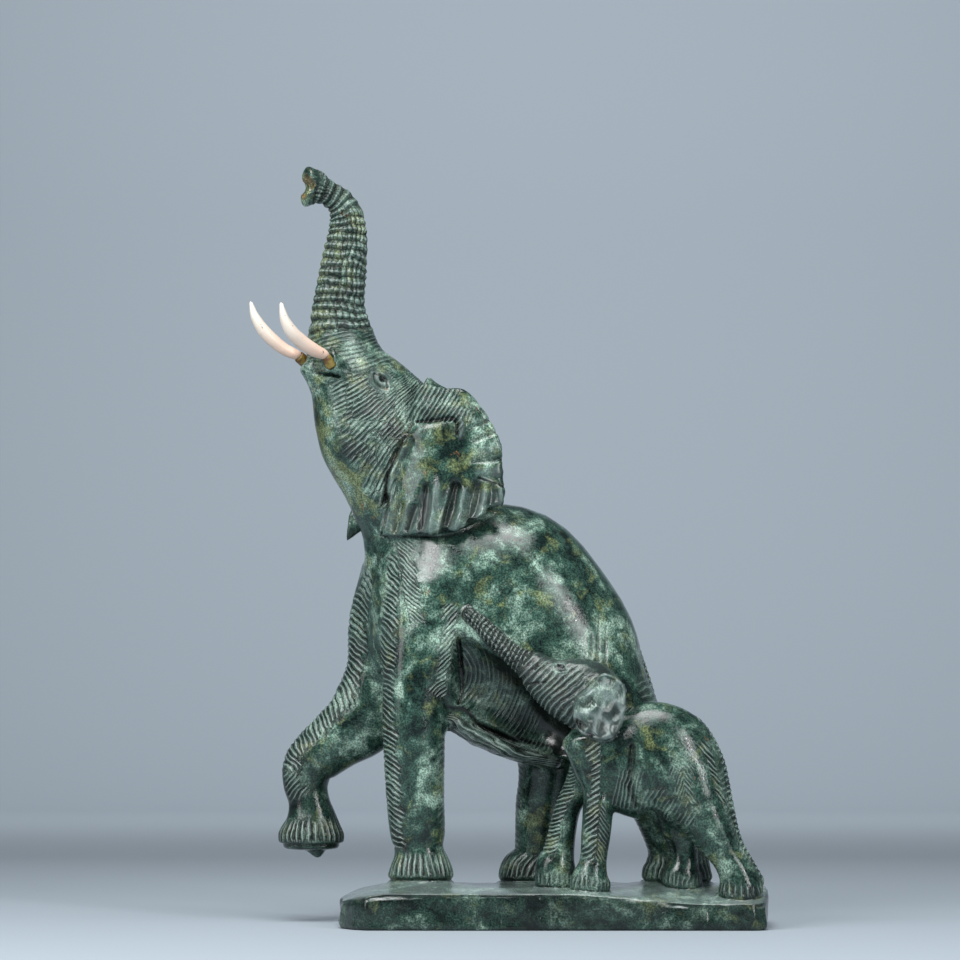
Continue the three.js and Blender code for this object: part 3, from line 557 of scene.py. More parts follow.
def surfaceNet(block):
    # One vertex in each cell that the surface crosses, and one quad over each crossed edge.
    corners = np.array([(i, j, k) for i in (0, 1) for j in (0, 1) for k in (0, 1)])
    pairs = [(a, b) for a in range(8) for b in range(a + 1, 8) if abs(corners[a] - corners[b]).sum() == 1]
    f = block.field
    solid = f < 0
    count = np.zeros([n - 1 for n in f.shape], np.uint8)
    for i, j, k in corners:
        count += solid[i:f.shape[0] - 1 + i, j:f.shape[1] - 1 + j, k:f.shape[2] - 1 + k]
    cells = np.argwhere((count > 0) & (count < 8))
    ids = np.full(count.shape, -1, np.int64)
    ids[tuple(cells.T)] = np.arange(len(cells))
    values = np.stack([f[tuple((cells + c).T)] for c in corners], 1)
    total = np.zeros((len(cells), 3))
    hits = np.zeros(len(cells))
    for a, b in pairs:
        va, vb = values[:, a], values[:, b]
        cross = (va < 0) != (vb < 0)
        t = np.where(cross, va / np.where(cross, va - vb, 1), 0)
        total += np.where(cross[:, None], corners[a] + t[:, None] * (corners[b] - corners[a]), 0)
        hits += cross
    low = np.array([a[0] for a in block.axes])
    vertices = (cells + total / hits[:, None]) * block.step + low
    quads = []
    for axis in range(3):
        u, v = (axis + 1) % 3, (axis + 2) % 3
        start = [slice(1, -1)] * 3
        start[axis] = slice(0, -1)
        end = list(start)
        end[axis] = slice(1, None)
        a, b = solid[tuple(start)], solid[tuple(end)]
        for flip, crossed in ((False, a & ~b), (True, ~a & b)):
            at = np.argwhere(crossed)
            at[:, u] += 1
            at[:, v] += 1
            four = []
            for du, dv in ((0, 0), (-1, 0), (-1, -1), (0, -1)):
                c = at.copy()
                c[:, u] += du
                c[:, v] += dv
                four.append(ids[tuple(c.T)])
            quad = np.stack(four, 1)
            quads.append(quad[:, ::-1] if flip else quad)
    quads = np.vstack(quads)
    return vertices, np.vstack([quads[:, [0, 1, 2]], quads[:, [0, 2, 3]]])


def gather(values, faces, count):
    out = np.zeros((count, values.shape[1]))
    for i in range(3):
        for c in range(values.shape[1]):
            out[:, c] += np.bincount(faces[:, i], values[:, c], count)
    return out


def normals(vertices, faces):
    a, b, c = (vertices[faces[:, i]] for i in range(3))
    out = gather(np.cross(b - a, c - a), faces, len(vertices))
    return out / np.maximum(np.linalg.norm(out, axis=1, keepdims=True), 1e-12)


def relax(vertices, faces, rounds, share=0.5):
    for _ in range(rounds):
        around = gather(vertices[faces].mean(1), faces, len(vertices))
        count = np.bincount(faces.ravel(), minlength=len(vertices))[:, None]
        vertices = vertices + share * (around / np.maximum(count, 1) - vertices)
    return vertices


def refine(vertices, faces, wanted):
    # Split every edge between two wanted vertices, and each face to suit.
    edges = np.sort(np.vstack([faces[:, [0, 1]], faces[:, [1, 2]], faces[:, [2, 0]]]), axis=1)
    keys = edges[:, 0] * len(vertices) + edges[:, 1]
    unique, inverse = np.unique(keys, return_inverse=True)
    a, b = unique // len(vertices), unique % len(vertices)
    split = wanted[a] & wanted[b]
    ids = np.full(len(unique), -1)
    ids[split] = len(vertices) + np.arange(split.sum())
    vertices = np.vstack([vertices, (vertices[a[split]] + vertices[b[split]]) / 2])
    mids = ids[inverse].reshape(3, -1).T
    n = (mids >= 0).sum(1)
    out = [faces[n == 0]]
    for turn in range(3):
        order = [turn, (turn + 1) % 3, (turn + 2) % 3]
        f, m = faces[:, order], mids[:, order]
        one = (n == 1) & (m[:, 0] >= 0)
        p, q = f[one], m[one]
        out += [np.stack([p[:, 0], q[:, 0], p[:, 2]], 1), np.stack([q[:, 0], p[:, 1], p[:, 2]], 1)]
        two = (n == 2) & (m[:, 0] < 0)
        p, q = f[two], m[two]
        out += [np.stack([p[:, 0], p[:, 1], q[:, 1]], 1), np.stack([p[:, 0], q[:, 1], q[:, 2]], 1),
                np.stack([q[:, 1], p[:, 2], q[:, 2]], 1)]
    p, q = faces[n == 3], mids[n == 3]
    out += [np.stack([p[:, 0], q[:, 0], q[:, 2]], 1), np.stack([q[:, 0], p[:, 1], q[:, 1]], 1),
            np.stack([q[:, 2], q[:, 1], p[:, 2]], 1), np.stack([q[:, 0], q[:, 1], q[:, 2]], 1)]
    return vertices, np.vstack(out)


def survey(points):
    # For each point its limb, the length along that limb and the place across its section.
    best = np.full(len(points), 1e9, np.float32)
    owner = np.full(len(points), -1)
    along = np.zeros(len(points), np.float32)
    left = np.zeros(len(points), np.float32)
    place = np.zeros((len(points), 2), np.float32)
    for i, (name, limb) in enumerate(limbs.items()):
        path = spline(limb[4], 4)
        reach = np.maximum(path[:, 3], path[:, 4])[:, None] + 12
        low, high = (path[:, :3] - reach).min(0), (path[:, :3] + reach).max(0)
        at = np.flatnonzero(((points > low) & (points < high)).all(1))
        dist, s, p, total = measure(points[at], limb)
        dist = np.abs(dist) + (0.5 if name in cuts else 0)
        hit = dist < best[at]
        at = at[hit]
        best[at], owner[at], along[at], place[at] = dist[hit], i, s[hit], p[hit]
        left[at] = total - s[hit]
    names = list(limbs)
    for name, made in ears.items():
        outline = spline(made["outline"], 4, closed=True)
        flatPoints = points[:, [0, 2]]
        reached = (flatPoints > outline.min(0) - 4) & (flatPoints < outline.max(0) + 4)
        at = np.flatnonzero(reached.all(1))
        x, y, z = points[at].T
        flat = outlineDistance(x, z, outline)
        out = np.abs(y - earMiddle(name, x, z)) - made["thick"] / 2
        dist = np.abs(roundBox(flat, out, 3.0))
        hit = dist < best[at]
        at = at[hit]
        best[at], owner[at], along[at] = dist[hit], len(names), -flat[hit]
        names.append(name)
    x, y, z = points.T
    flat = outlineDistance(x, y, np.asarray(base["plan"], float))
    dist = np.abs(roundBox(flat, np.maximum(z - baseTop(x, y), -z), base["edge"]))
    hit = dist < best + 1
    owner[hit] = len(names)
    names.append("base")
    return names, owner, along, left, place


def groove(cycles, width=0.5):
    # A cut once a cycle: 1 at its bottom and 0 on the ridge between cuts.
    return np.clip(1 - np.abs(cycles - np.floor(cycles) - 0.5) / width, 0, 1) ** 1.2


def cells(x, z, size, seed):
    # How far inside its cell each point is: 0 on the ridge between two cells.
    col, row = np.floor(x / size), np.floor(z / size)
    best = np.full((2, len(x)), 9.0)
    for i in (-1, 0, 1):
        for k in (-1, 0, 1):
            cx = col + i + 0.5 + 0.8 * (chance((col + i) * 7 + (row + k) * 57, seed) - 0.5)
            cz = row + k + 0.5 + 0.8 * (chance((col + i) * 31 + (row + k) * 13, seed + 1) - 0.5)
            gap = np.hypot(x / size - cx, z / size - cz)
            best[1] = np.minimum(best[1], np.maximum(gap, best[0]))
            best[0] = np.minimum(best[0], gap)
    return best[1] - best[0]


def chance(row, seed):
    # A number from 0 to 1 that belongs to a stroke.
    wave = np.sin(np.floor(row) * 12.9898 + seed * 78.233) * 43758.5453
    return wave - np.floor(wave)


class Marks:
    # What the chisel has done at each point: how deep it went, how fresh the cut is, the stroke and the
    # bead that the point is in and how strongly, how much painted shade lies there, how yellow the stone,
    # and how grey with dust and painted sheen.
    painted = ("fresh", "stroke", "score", "beads", "strung", "dark", "vein", "ash")

    def __init__(self, points, normal):
        self.points, self.normal = points, normal
        self.names, self.owner, self.along, self.left, self.place = survey(points)
        self.x, self.y, self.z = points.T
        self.sx, self.sz = seen(points)
        for name in ("depth", "second", *self.painted):
            setattr(self, name, np.zeros(len(points)))
        self.wander = noise(points, 22, stone["seed"])
        self.grain = noise(points, 7, stone["seed"] + 1)
        self.fine = noise(points, 3.2, stone["seed"] + 2)
        self.around = np.arctan2(self.place[:, 0], -self.place[:, 1])
        self.seam = ramp(np.abs(self.around), pi - 0.05, pi - 0.15)

    def on(self, *wanted):
        return np.isin(self.owner, [self.names.index(name) for name in wanted])

    def lay(self, at, cycles, amount, mask, width=0.5, line=True):
        # One cut each cycle. at, cycles and mask belong to the same points.
        cut = groove(cycles, width) * mask
        self.depth[at] += amount * cut * (0.8 + 0.3 * self.grain[at])
        self.fresh[at] = np.maximum(self.fresh[at], mask * (0.4 + 0.6 * cut))
        if line:
            mine, had = mask * amount, self.score[at]
            self.second[at] = np.where(mine > had, had, np.maximum(self.second[at], mine))
            self.stroke[at] = np.where(mine > had, cycles, self.stroke[at])
            self.score[at] = np.maximum(mine, had)

    def string(self, at, cycles, amount, mask):
        # Cuts across the rings, which break them into beads.
        cycles = cycles + 0.35 * self.grain[at]
        mask = mask * self.seam[at] * ramp(noise(self.points[at], 16, 14), -1.0, -0.4)
        self.depth[at] += amount * groove(cycles, 0.4) * mask
        self.beads[at], self.strung[at] = cycles, mask

    # Painted shade: darkens the colour where shade falls.
    def paintShade(self, at, amount):
        self.dark[at] = np.maximum(self.dark[at], amount)

    def freshen(self, at, amount):
        self.fresh[at] = np.maximum(self.fresh[at], amount)

    # Grey dust, and on ridges and flutes a painted sheen.
    def dustAndSheen(self, at, amount):
        self.ash[at] = np.maximum(self.ash[at], amount)


def dashes(length, row):
    # Each stroke is broken into dashes of its own.
    return ramp(noise(np.stack([length / 10, row * 31, row * 17], 1), 1.0, 11), -0.4, 0.15)


def cutTrunk(m):
    # Rings round the trunk, broken into beads, with larger plates down its front.
    at = np.flatnonzero(m.on("trunk"))
    body = (ramp(m.along, 4, 20) * ramp(m.left, 0, 8))[at]
    front = ramp(m.place[at, 0], 0.3, 0.9)
    rings = m.along[at] / stone["ringPitch"] + 0.42 * m.wander[at] + 0.14 * m.grain[at]
    m.lay(at, rings, stone["ringDepth"] * (0.7 + 0.5 * chance(rings, 4) + 0.4 * front), body, 0.4)
    m.string(at, m.around[at] * 24 / (2 * pi) + 7.3 * chance(rings + 0.5, 8), 1.3, body * (1 - 0.35 * front))
    m.depth[at] += 0.4 * noise(m.points[at], 2.6, 21) * body
    plates = np.abs(m.place[at, 0] - 0.42)
    # Painted shade along the edges of the plates.
    m.paintShade(at, 0.6 * ramp(plates, 0.07, 0.02) * body * (m.place[at, 1] < 0))
    m.depth[at] += 0.8 * ramp(plates, 0.12, 0.02) * body
    m.lay(at, rings * 2, 0.3, body * (1 - front), 0.5, False)
    m.vein[at] += 0.55 * front + 0.2


def cutHead(m):
    # Strokes over the cheek, fanning from a point above the back of the head.
    at = np.flatnonzero(m.on("head", "neck", "trunk", "chest"))
    dx, dz = m.sx[at] + 56, 484 - m.sz[at]
    reach = np.hypot(dx, dz)
    turn = np.arctan2(dz, -dx)
    patch = np.floor(2.2 * noise(m.points[at], 17, 18) + 0.5)
    fan = turn * (stone["cheekStrokes"] + 1.7 * patch) + 0.85 * m.wander[at]
    fan = fan + 0.18 * m.grain[at] + 0.37 * patch
    row = chance(fan, 3)
    broken = dashes(reach, row)
    lower = ramp(m.sz[at], 318, 336) * ramp(m.sz[at], 447, 432)
    throat = ramp(m.place[at, 0], 0.93, 0.78)
    cheek = m.on("head")[at] * throat + m.on("neck")[at] * ramp(m.sz[at], 312, 330)
    cheek = cheek * (m.normal[at, 1] < 0.6)
    m.lay(at, fan, stone["cheekDepth"] * (0.55 + 0.8 * row), cheek * lower * (0.3 + 0.7 * broken))
    m.depth[at] += 0.5 * noise(m.points[at], 13, 15) * cheek
    # Finer level strokes above them, up to the trunk.
    level = (m.sz[at] - 0.22 * (m.sx[at] + 140)) / 3.5 + 0.8 * m.wander[at] + 0.3 * m.grain[at]
    brow = ramp(m.sx[at], -122, -138)
    upper = ramp(m.sz[at], 432, 447) * m.on("head")[at] * (0.35 + 0.65 * brow)
    m.lay(at, level, 0.6, upper * (0.1 + 0.9 * dashes(m.sx[at] * 1.3, chance(level, 6))))
    yellow = 0.9 * ramp(m.place[at, 0], 0.78, 0.95) + 0.35 * ramp(m.sz[at], 415, 450)
    m.vein[at] += m.on("head")[at] * yellow


def cutBands(m):
    # Bands of strokes on the legs, shoulders and flanks.
    for number, band in enumerate(bands):
        spine = spline(band["spine"], 4)
        wide = max(band["reach"]) + 2
        low, high = spine.min(0) - wide, spine.max(0) + wide
        here = m.on(*band["on"]) & (m.sx > low[0]) & (m.sx < high[0]) & (m.sz > low[1]) & (m.sz < high[1])
        if band.get("near"):
            here &= m.normal[:, 1] < 0.25
        at = np.flatnonzero(here)
        length, off, total = follow(m.sx[at], m.sz[at], spine)
        right = off > 0
        lean = np.where(right, band["lean"][1], band["lean"][0])
        cycles = (length - lean * np.abs(off)) / band["pitch"] + 0.4 * m.wander[at] + 0.3 * m.grain[at]
        limit = np.where(right, band["reach"][1], band["reach"][0]) * (0.55 + 0.5 * chance(cycles, number))
        mask = ramp(np.abs(off), limit + 0.6, limit - 1.6)
        mask *= ramp(length, -0.5, 3) * ramp(length, total + 0.5, total - 3)
        m.lay(at, cycles, band["depth"] * (0.7 + 0.9 * chance(cycles, number + 50)), mask)


def cutFeet(m):
    # Feet: upright flutes down to a rim that stands clear of the base.
    for name in limbs:
        if "leg" not in name:
            continue
        small = name.startswith("calf")
        tall = 13 if small else 22
        at = np.flatnonzero(m.on(name) & (m.left < tall + 6))
        count = 24 if small else 32
        toes = m.around[at] * count / (2 * pi) + 0.5 * m.wander[at] + 0.25 * m.grain[at]
        low = 4 if small else 5
        height = m.left[at] if name == "farForeleg" else m.z[at] - baseTop(m.x[at], m.y[at])
        mask = ramp(height, tall + 5 * chance(toes, 9), tall - 6)
        mask = mask * ramp(height, low - 1, low + 2) * m.seam[at]
        m.lay(at, toes, 0.9 if small else 1.4, mask * (0.5 + 0.7 * chance(toes, 12)))
        rim = np.exp(-((height - (1.6 if small else 2.2)) / (1.0 if small else 1.3)) ** 2)
        m.depth[at] += (1.2 if small else 1.9) * rim
        # Painted shade along the rim.
        m.paintShade(at, rim)


def cutLegs(m):
    # Strokes at the front and back edges of the hind legs.
    pitches = dict(farHindleg=5.6, nearHindleg=5.2, calfFarHindleg=4.2, calfNearHindleg=4.2)
    for name, pitch in pitches.items():
        at = np.flatnonzero(m.on(name) & (m.left > 20))
        edge = ramp(m.place[at, 0], 0.7, 0.9) + ramp(-m.place[at, 0], 0.75, 0.92) * 0.8
        lean = m.along[at] / pitch - 0.9 * np.abs(m.place[at, 1]) + 0.3 * m.grain[at] + 0.3 * m.wander[at]
        m.lay(at, lean, 0.3 + 0.4 * chance(lean, 5), np.clip(edge, 0, 1) * ramp(m.left[at], 20, 26))
    # The raised leg gets painted shade towards its foot.
    at = np.flatnonzero(m.on("farForeleg"))
    m.paintShade(at, 0.5 * ramp(m.left[at], 95, 60))


def cutTails(m):
    # Tails like ropes.
    for name in ("tail", "calfTail"):
        at = np.flatnonzero(m.on(name))
        m.lay(at, m.along[at] / 4.6 + m.around[at] / (2 * pi) + 0.15 * m.grain[at], 1.0, m.seam[at])


def cutCalf(m):
    # The calf's trunk and head, grey dust on them, and painted shade over the whole calf, deepest on its
    # head and trunk.
    at = np.flatnonzero(m.on("calfTrunk"))
    rings = m.along[at] / 3.9 + 0.5 * m.wander[at] + 0.35 * m.place[at, 0] + 0.2 * m.grain[at]
    m.lay(at, rings, 0.9 + 0.9 * chance(rings, 6), ramp(m.left[at], 0, 5))
    m.string(at, m.around[at] * 9 / (2 * pi) + 5.7 * chance(rings + 0.5, 2), 1.0, ramp(m.along[at], 8, 16))
    at = np.flatnonzero(m.on("calfHead"))
    slant = (m.sx[at] * 0.72 - m.sz[at] * 0.69) / 4.5 + 0.9 * m.wander[at] + 0.2 * m.grain[at]
    crown = ramp(m.sz[at] + 0.35 * m.sx[at], 216, 205)
    broken = dashes(m.sx[at] + m.sz[at], chance(slant, 7))
    m.lay(at, slant, 1.0 + 0.9 * chance(slant, 6), crown * (0.35 + 0.65 * broken))
    m.ash[m.on("calfHead", "calfTrunk", "calfEar")] = 0.3
    m.dark[m.on("calfTrunk")] = 0.65
    m.dark[m.on("calfHead")] = 0.6
    m.paintShade(m.on(*calf), 0.18)


def cutHollow(m):
    # Curved strokes inside the hollow, under painted shade that turns black to the right of hollowShade.
    at = np.flatnonzero(m.on("hollow"))
    reach = np.hypot(m.sx[at] + 89, m.sz[at] - 200)
    bowl = (reach + 0.06 * np.maximum(reach - 40, 0) ** 1.2) / 3.9 + 0.4 * m.wander[at]
    row = chance(bowl, 3)
    broken = ramp(m.grain[at], -0.5, 0.3) * dashes(m.sz[at], row)
    m.lay(at, bowl, 0.45 + 0.6 * row, 0.2 + 0.5 * broken)
    m.fresh[at] *= 0.4
    deep = follow(m.sx[at], m.sz[at], hollowShade)[1]
    black = ramp(deep + 3 * m.wander[at], -5, 7)
    m.paintShade(at, 0.38 + 0.62 * black)
    m.score[at] *= 1 - 0.8 * black


def cutBellyLip(m):
    # The torn lip under the belly, grey with dust and darkened by painted shade.
    at = np.flatnonzero(m.on("bellyLip"))
    torn = m.around[at] * 13 / (2 * pi) + 1.3 * noise(m.points[at] * (0.35, 1, 1), 9, 5) + 0.4 * m.grain[at]
    m.lay(at, torn, 0.8 + 0.5 * chance(torn, 3), 0.4 + 0.6 * dashes(m.along[at], chance(torn, 9)))
    m.depth[at] += 0.8 * noise(m.points[at], 8, 6)
    m.ash[at] = 0.3
    m.paintShade(at, 0.42)
    m.depth[at] -= 0.6


def cutNearEar(m):
    # The near ear: lumps on its upper part, grey dust and a painted sheen low down, and fine strokes on its
    # fold.
    at = np.flatnonzero(m.on("nearEar", "earFold") & (m.normal[:, 1] < 0.3))
    crown = 335 + 15 * ramp(m.sx[at], -118, -102)
    low = ramp(m.sz[at], crown, crown - 10)
    lumps = noise(m.points[at], 9, 16) + 0.5 * noise(m.points[at], 5, 17)
    m.depth[at] += 0.55 * lumps * (1 - low)
    fold = ramp(m.sz[at], 399, 404) * ramp(m.sx[at] + 0.6 * (m.sz[at] - 405), -58, -68)
    fold = np.where(m.on("earFold")[at], 1.0, fold)
    slant = (m.sx[at] * 0.84 - m.sz[at] * 0.54) / 3.2 + 0.7 * m.wander[at] + 0.25 * m.grain[at]
    m.lay(at, slant, 0.9, fold * (0.4 + 0.6 * (m.grain[at] > -0.5)))
    m.vein[at] += 0.5 * (1 - low) * (1 - fold)
    m.dustAndSheen(at, low * (0.25 + 0.35 * lumps))


def cutOtherEars(m):
    # The other ears.
    for name, spokes, amount, rimWide in (("farEar", 15, 1.6, 34), ("calfEar", 9, 0.8, 14)):
        hx, hz = ears[name]["heart"]
        at = np.flatnonzero(m.on(name))
        ray = np.arctan2(m.z[at] - hz, m.x[at] - hx) * spokes / (2 * pi) + 0.25 * m.wander[at]
        rim = ramp(m.along[at], rimWide, 5)
        m.depth[at] += amount * np.abs(np.sin(pi * ray)) ** 0.8 * rim
        m.freshen(at, 0.25 * rim)
    at = np.flatnonzero(m.on("calfEar"))
    cell = np.clip(cells(m.sx[at] + 3 * m.wander[at], m.sz[at] * 0.75, 12.5, 23) / 0.6, 0, 1)
    edge = ramp(m.along[at], 0, 3)
    m.depth[at] += 3.0 * cell ** 0.7 * edge
    # The calf's ear: grey dust and painted highlights on the ridges between cells, painted shade in their
    # hollows.
    m.stroke[at], m.score[at], m.second[at] = 0.3 * cell, 0.4 * edge, 0
    m.depth[at] += 0.6 * noise(m.points[at], 4.5, 22) * edge
    m.ash[at] = 0.3 + 0.6 * ramp(cell, 0.5, 0.05)
    m.paintShade(at, 0.3 * cell ** 2 * (1 + 0.8 * m.grain[at]))
    m.freshen(at, 0.5)


def cutCreases(m):
    # Pits and creases, with painted shade in them.
    for pit in pits:
        tilt = radians(pit["tilt"])
        at = np.flatnonzero(m.on(*pit["on"]) & (m.normal[:, 1] < 0.3))
        dx, dz = m.sx[at] - pit["middle"][0], m.sz[at] - pit["middle"][1]
        a = (dx * cos(tilt) + dz * sin(tilt)) / pit["half"][0]
        b = (dz * cos(tilt) - dx * sin(tilt)) / pit["half"][1]
        bowl = ramp(np.hypot(a, b), 1.15, 0.45)
        m.depth[at] += pit["depth"] * bowl
        m.paintShade(at, 0.35 * bowl)
        m.freshen(at, 0.4 * ramp(np.hypot(a, b), 1.5, 1.1))
    for places, line, wide, deep, shade, pale in creases:
        at = np.flatnonzero(m.on(*places) & (m.normal[:, 1] < 0.35))
        length, off, total = follow(m.sx[at], m.sz[at], spline(line, 4))
        wide = wide * (1.3 - 0.5 * np.abs(length / total - 0.5) * 2) * (1 + 0.15 * m.grain[at])
        near = ramp(m.y[at], -6, -14) if "nearEar" in places else 1.0
        shape = ramp(np.abs(off), wide * 1.25, wide * 0.2) * near
        m.depth[at] += deep * shape
        m.freshen(at, 0.3 * ramp(np.abs(off), wide + 2, wide))
        m.dark[at] *= 1 - pale * shape
        m.paintShade(at, shade * near * ramp(np.abs(off), wide, wide * 0.3))
        m.dustAndSheen(at, pale * shape * (1.1 + 0.7 * m.fine[at]))


def cutEyes(m):
    # Eyes: an almond between lids, a bored pupil under the upper lid, a bag and wrinkles round it.
    for middle, facing, way, long, high in eyes.values():
        rel = m.points - middle
        at = np.flatnonzero((np.abs(rel) < 3 * long).all(1))
        a = rel[at] @ np.array(way) / long
        b = rel[at] @ np.cross(facing, way) / high
        lens = np.abs(b) + a * a
        keep = ramp(np.hypot(0.72 * a, 0.42 * b), 1.15, 0.9)
        for marks in (m.depth, m.score, m.dark):
            marks[at] *= 1 - keep
        upper = ramp(b + 0.5 * a, -0.3, 0.5)
        lid = np.exp(-((lens - 1.1) / 0.3) ** 2) * keep
        rim = np.exp(-((lens - 1.7) / 0.3) ** 2) * keep
        fold = np.exp(-((lens - 2.25) / 0.2) ** 2) * keep * (1 - 0.7 * upper)
        ball = np.sqrt(np.clip(1 - lens, 0, 1))
        pupil = ramp(np.hypot(a * long + 0.08 * long, b * high - 0.42 * abs(high) * np.sign(high)), 3.3, 2.3)
        pupil *= ramp(lens, 1.25, 1.0)
        m.depth[at] += 0.6 * keep - 1.4 * ball + 1.4 * lid - 0.5 * rim + 0.3 * fold + 1.1 * pupil
        # Painted shade in the pupil and along the lids.
        eyeShade = np.maximum(np.maximum(pupil, lid * (0.6 + 0.4 * upper)), 0.2 * fold)
        m.paintShade(at, eyeShade)
        m.freshen(at, 0.5 * keep)
        m.dustAndSheen(at, (0.25 * keep + 0.6 * ball) * (1 - eyeShade))
        m.vein[at] += 0.8 * keep * ramp(a, 0.6, 1.2)


def cutBase(m):
    # Tool marks on the base, with painted shade in the nicks. Its top is painted paler and its sides darker,
    # as painted light and shade from above.
    at = np.flatnonzero(m.on("base"))
    side = ramp(m.normal[at, 2], 0.7, 0.3)
    m.ash[at] = 0.55 * (1 - side)
    m.paintShade(at, 0.5 * side * (1 + 0.5 * m.wander[at]))
    facets = noise(m.points[at] * (1, 1, 1.6), 34, 41) * 1.6 + noise(m.points[at], 15, 42) * 0.9
    edge = ramp(np.abs(m.z[at] - baseTop(m.x[at], m.y[at]) + 1), 5, 1)
    facets += edge * (0.8 + 1.6 * noise(m.points[at], 19, 44))
    m.depth[at] += (facets + 0.3 * m.grain[at]) * ramp(m.z[at], 1, 6) * (0.4 + 0.6 * side)
    nicks = ramp(noise(m.points[at], 5, 45), 0.6, 0.85) * side
    m.depth[at] += 0.5 * nicks
    m.fresh[at] = 0.1 + 0.3 * ramp(noise(m.points[at], 18, 43), 0, 0.6)
    m.freshen(at, 0.5 * edge * ramp(m.y[at], -60, -74))
    m.paintShade(at, 0.5 * nicks)


def cutTrunkTip(m):
    # The open end of the trunk, worn to yellow stone.
    at = np.flatnonzero(m.on("trunkMouth", "trunkNotch"))
    m.vein[at] = 3.6
    m.depth[at] += 0.9 * noise(m.points[at], 4, 19)
    # Painted shade inside the opening.
    m.paintShade(at, 0.5 * ramp(np.abs(m.place[at, 1]), 0.75, 0.3))


def relief(points, normal):
    m = Marks(points, normal)
    for cut in (cutTrunk, cutHead, cutBands, cutFeet, cutLegs, cutTails, cutCalf, cutHollow, cutBellyLip,
                cutNearEar, cutOtherEars, cutCreases, cutEyes, cutBase, cutTrunkTip):
        cut(m)
    # The polished body stays smooth, with slight waves left by the rasp.
    m.depth += 0.14 * m.wander + 0.05 * m.fine * ramp(m.fresh, 0.1, 0.5)
    m.depth *= ramp(m.z, 0.3, 3)
    # No line is drawn where one set of strokes gives way to another.
    m.score = np.clip(m.score, 0, 1.2) * ramp(m.score - m.second, 0, 0.2)
    m.score[m.on("trunk", "calfHead", "calfTrunk")] *= 0.65
    return m.depth, {name: getattr(m, name) for name in m.painted}


def makeMesh(name, vertices, faces):
    mesh = bpy.data.meshes.new(name)
    mesh.from_pydata((vertices * metre).tolist(), [], faces.tolist())
    mesh.update()
    mesh.polygons.foreach_set("use_smooth", [True] * len(mesh.polygons))
    made = bpy.data.objects.new(name, mesh)
    bpy.context.collection.objects.link(made)
    return made


def makeStone():
    block = sculpt(stone["grid"])
    print("block carved", block.field.shape)
    vertices, faces = surfaceNet(block)
    vertices = relax(vertices, faces, 2)
    masks = relief(vertices, normals(vertices, faces))[1]
    worked = (masks["fresh"] > 0.12) | (masks["dark"] > 0.1)
    vertices, faces = refine(vertices, faces, worked)
    vertices = relax(vertices, faces, 1, 0.3)
    normal = normals(vertices, faces)
    depth = relief(vertices, normal)[0]
    vertices = vertices - normal * depth[:, None]
    vertices[:, 2] = np.maximum(vertices[:, 2], 0)
    print("surface", len(vertices), "vertices", len(faces), "faces")
    made = makeMesh("carvingSkin", vertices, faces)
    if len(faces) > stone["triangles"]:
        thin = made.modifiers.new("thin", "DECIMATE")
        thin.ratio = stone["triangles"] / len(faces)
        apply(made)
    paintMasks(made)
    print("skin", len(made.data.polygons), "faces")
    return made


def paintMasks(made):
    # The same marks again on the finished mesh, for the material.
    mesh = made.data
    count = len(mesh.vertices)
    points = np.empty(count * 3, np.float32)
    normal = np.empty(count * 3, np.float32)
    mesh.vertices.foreach_get("co", points)
    mesh.vertex_normals.foreach_get("vector", normal)
    masks = relief(points.reshape(-1, 3) / metre, normal.reshape(-1, 3))[1]
    for name, values in masks.items():
        layer = mesh.attributes.new(name, "FLOAT", "POINT")
        layer.data.foreach_set("value", values.astype(np.float32))


def apply(made):
    graph = bpy.context.evaluated_depsgraph_get()
    mesh = bpy.data.meshes.new_from_object(made.evaluated_get(graph))
    made.modifiers.clear()
    made.data = mesh


stoneSkin = makeStone()
print("stone done")


def group(name, inputs, outputs):
    made = bpy.data.node_groups.new(name, "ShaderNodeTree")
    for socket, kind, value in inputs:
        item = made.interface.new_socket(name=socket, in_out="INPUT", socket_type=kind)
        if value is not None:
            item.default_value = value
    for socket, kind in outputs:
        made.interface.new_socket(name=socket, in_out="OUTPUT", socket_type=kind)
    return made, made.nodes.new("NodeGroupInput"), made.nodes.new("NodeGroupOutput")


def link(tree, a, b):
    tree.links.new(a, b)


def node(tree, kind, **settings):
    made = tree.nodes.new(kind)
    for key, value in settings.items():
        setattr(made, key, value)
    return made


def noiseNode(tree, vector, scale, detail=4.0, rough=0.55, distort=0.0):
    made = node(tree, "ShaderNodeTexNoise")
    made.inputs["Scale"].default_value = scale
    made.inputs["Detail"].default_value = detail
    made.inputs["Roughness"].default_value = rough
    made.inputs["Distortion"].default_value = distort
    link(tree, vector, made.inputs["Vector"])
    return made.outputs["Fac"]


def rampNode(tree, value, low, high):
    made = node(tree, "ShaderNodeMapRange", interpolation_type="SMOOTHSTEP")
    made.inputs["From Min"].default_value = low
    made.inputs["From Max"].default_value = high
    link(tree, value, made.inputs["Value"])
    return made.outputs["Result"]


def feed(tree, socket, value):
    if isinstance(value, bpy.types.NodeSocket):
        link(tree, value, socket)
    else:
        socket.default_value = value


def mixNode(tree, share, a, b, blend="MIX"):
    made = node(tree, "ShaderNodeMix", data_type="RGBA", blend_type=blend)
    for number, value in ((0, share), (6, a), (7, b)):
        feed(tree, made.inputs[number], value)
    return made.outputs[2]


def mathNode(tree, operation, a, b):
    made = node(tree, "ShaderNodeMath", operation=operation)
    feed(tree, made.inputs[0], a)
    feed(tree, made.inputs[1], b)
    return made.outputs[0]


def times(tree, value, factor):
    return mathNode(tree, "MULTIPLY", value, factor)


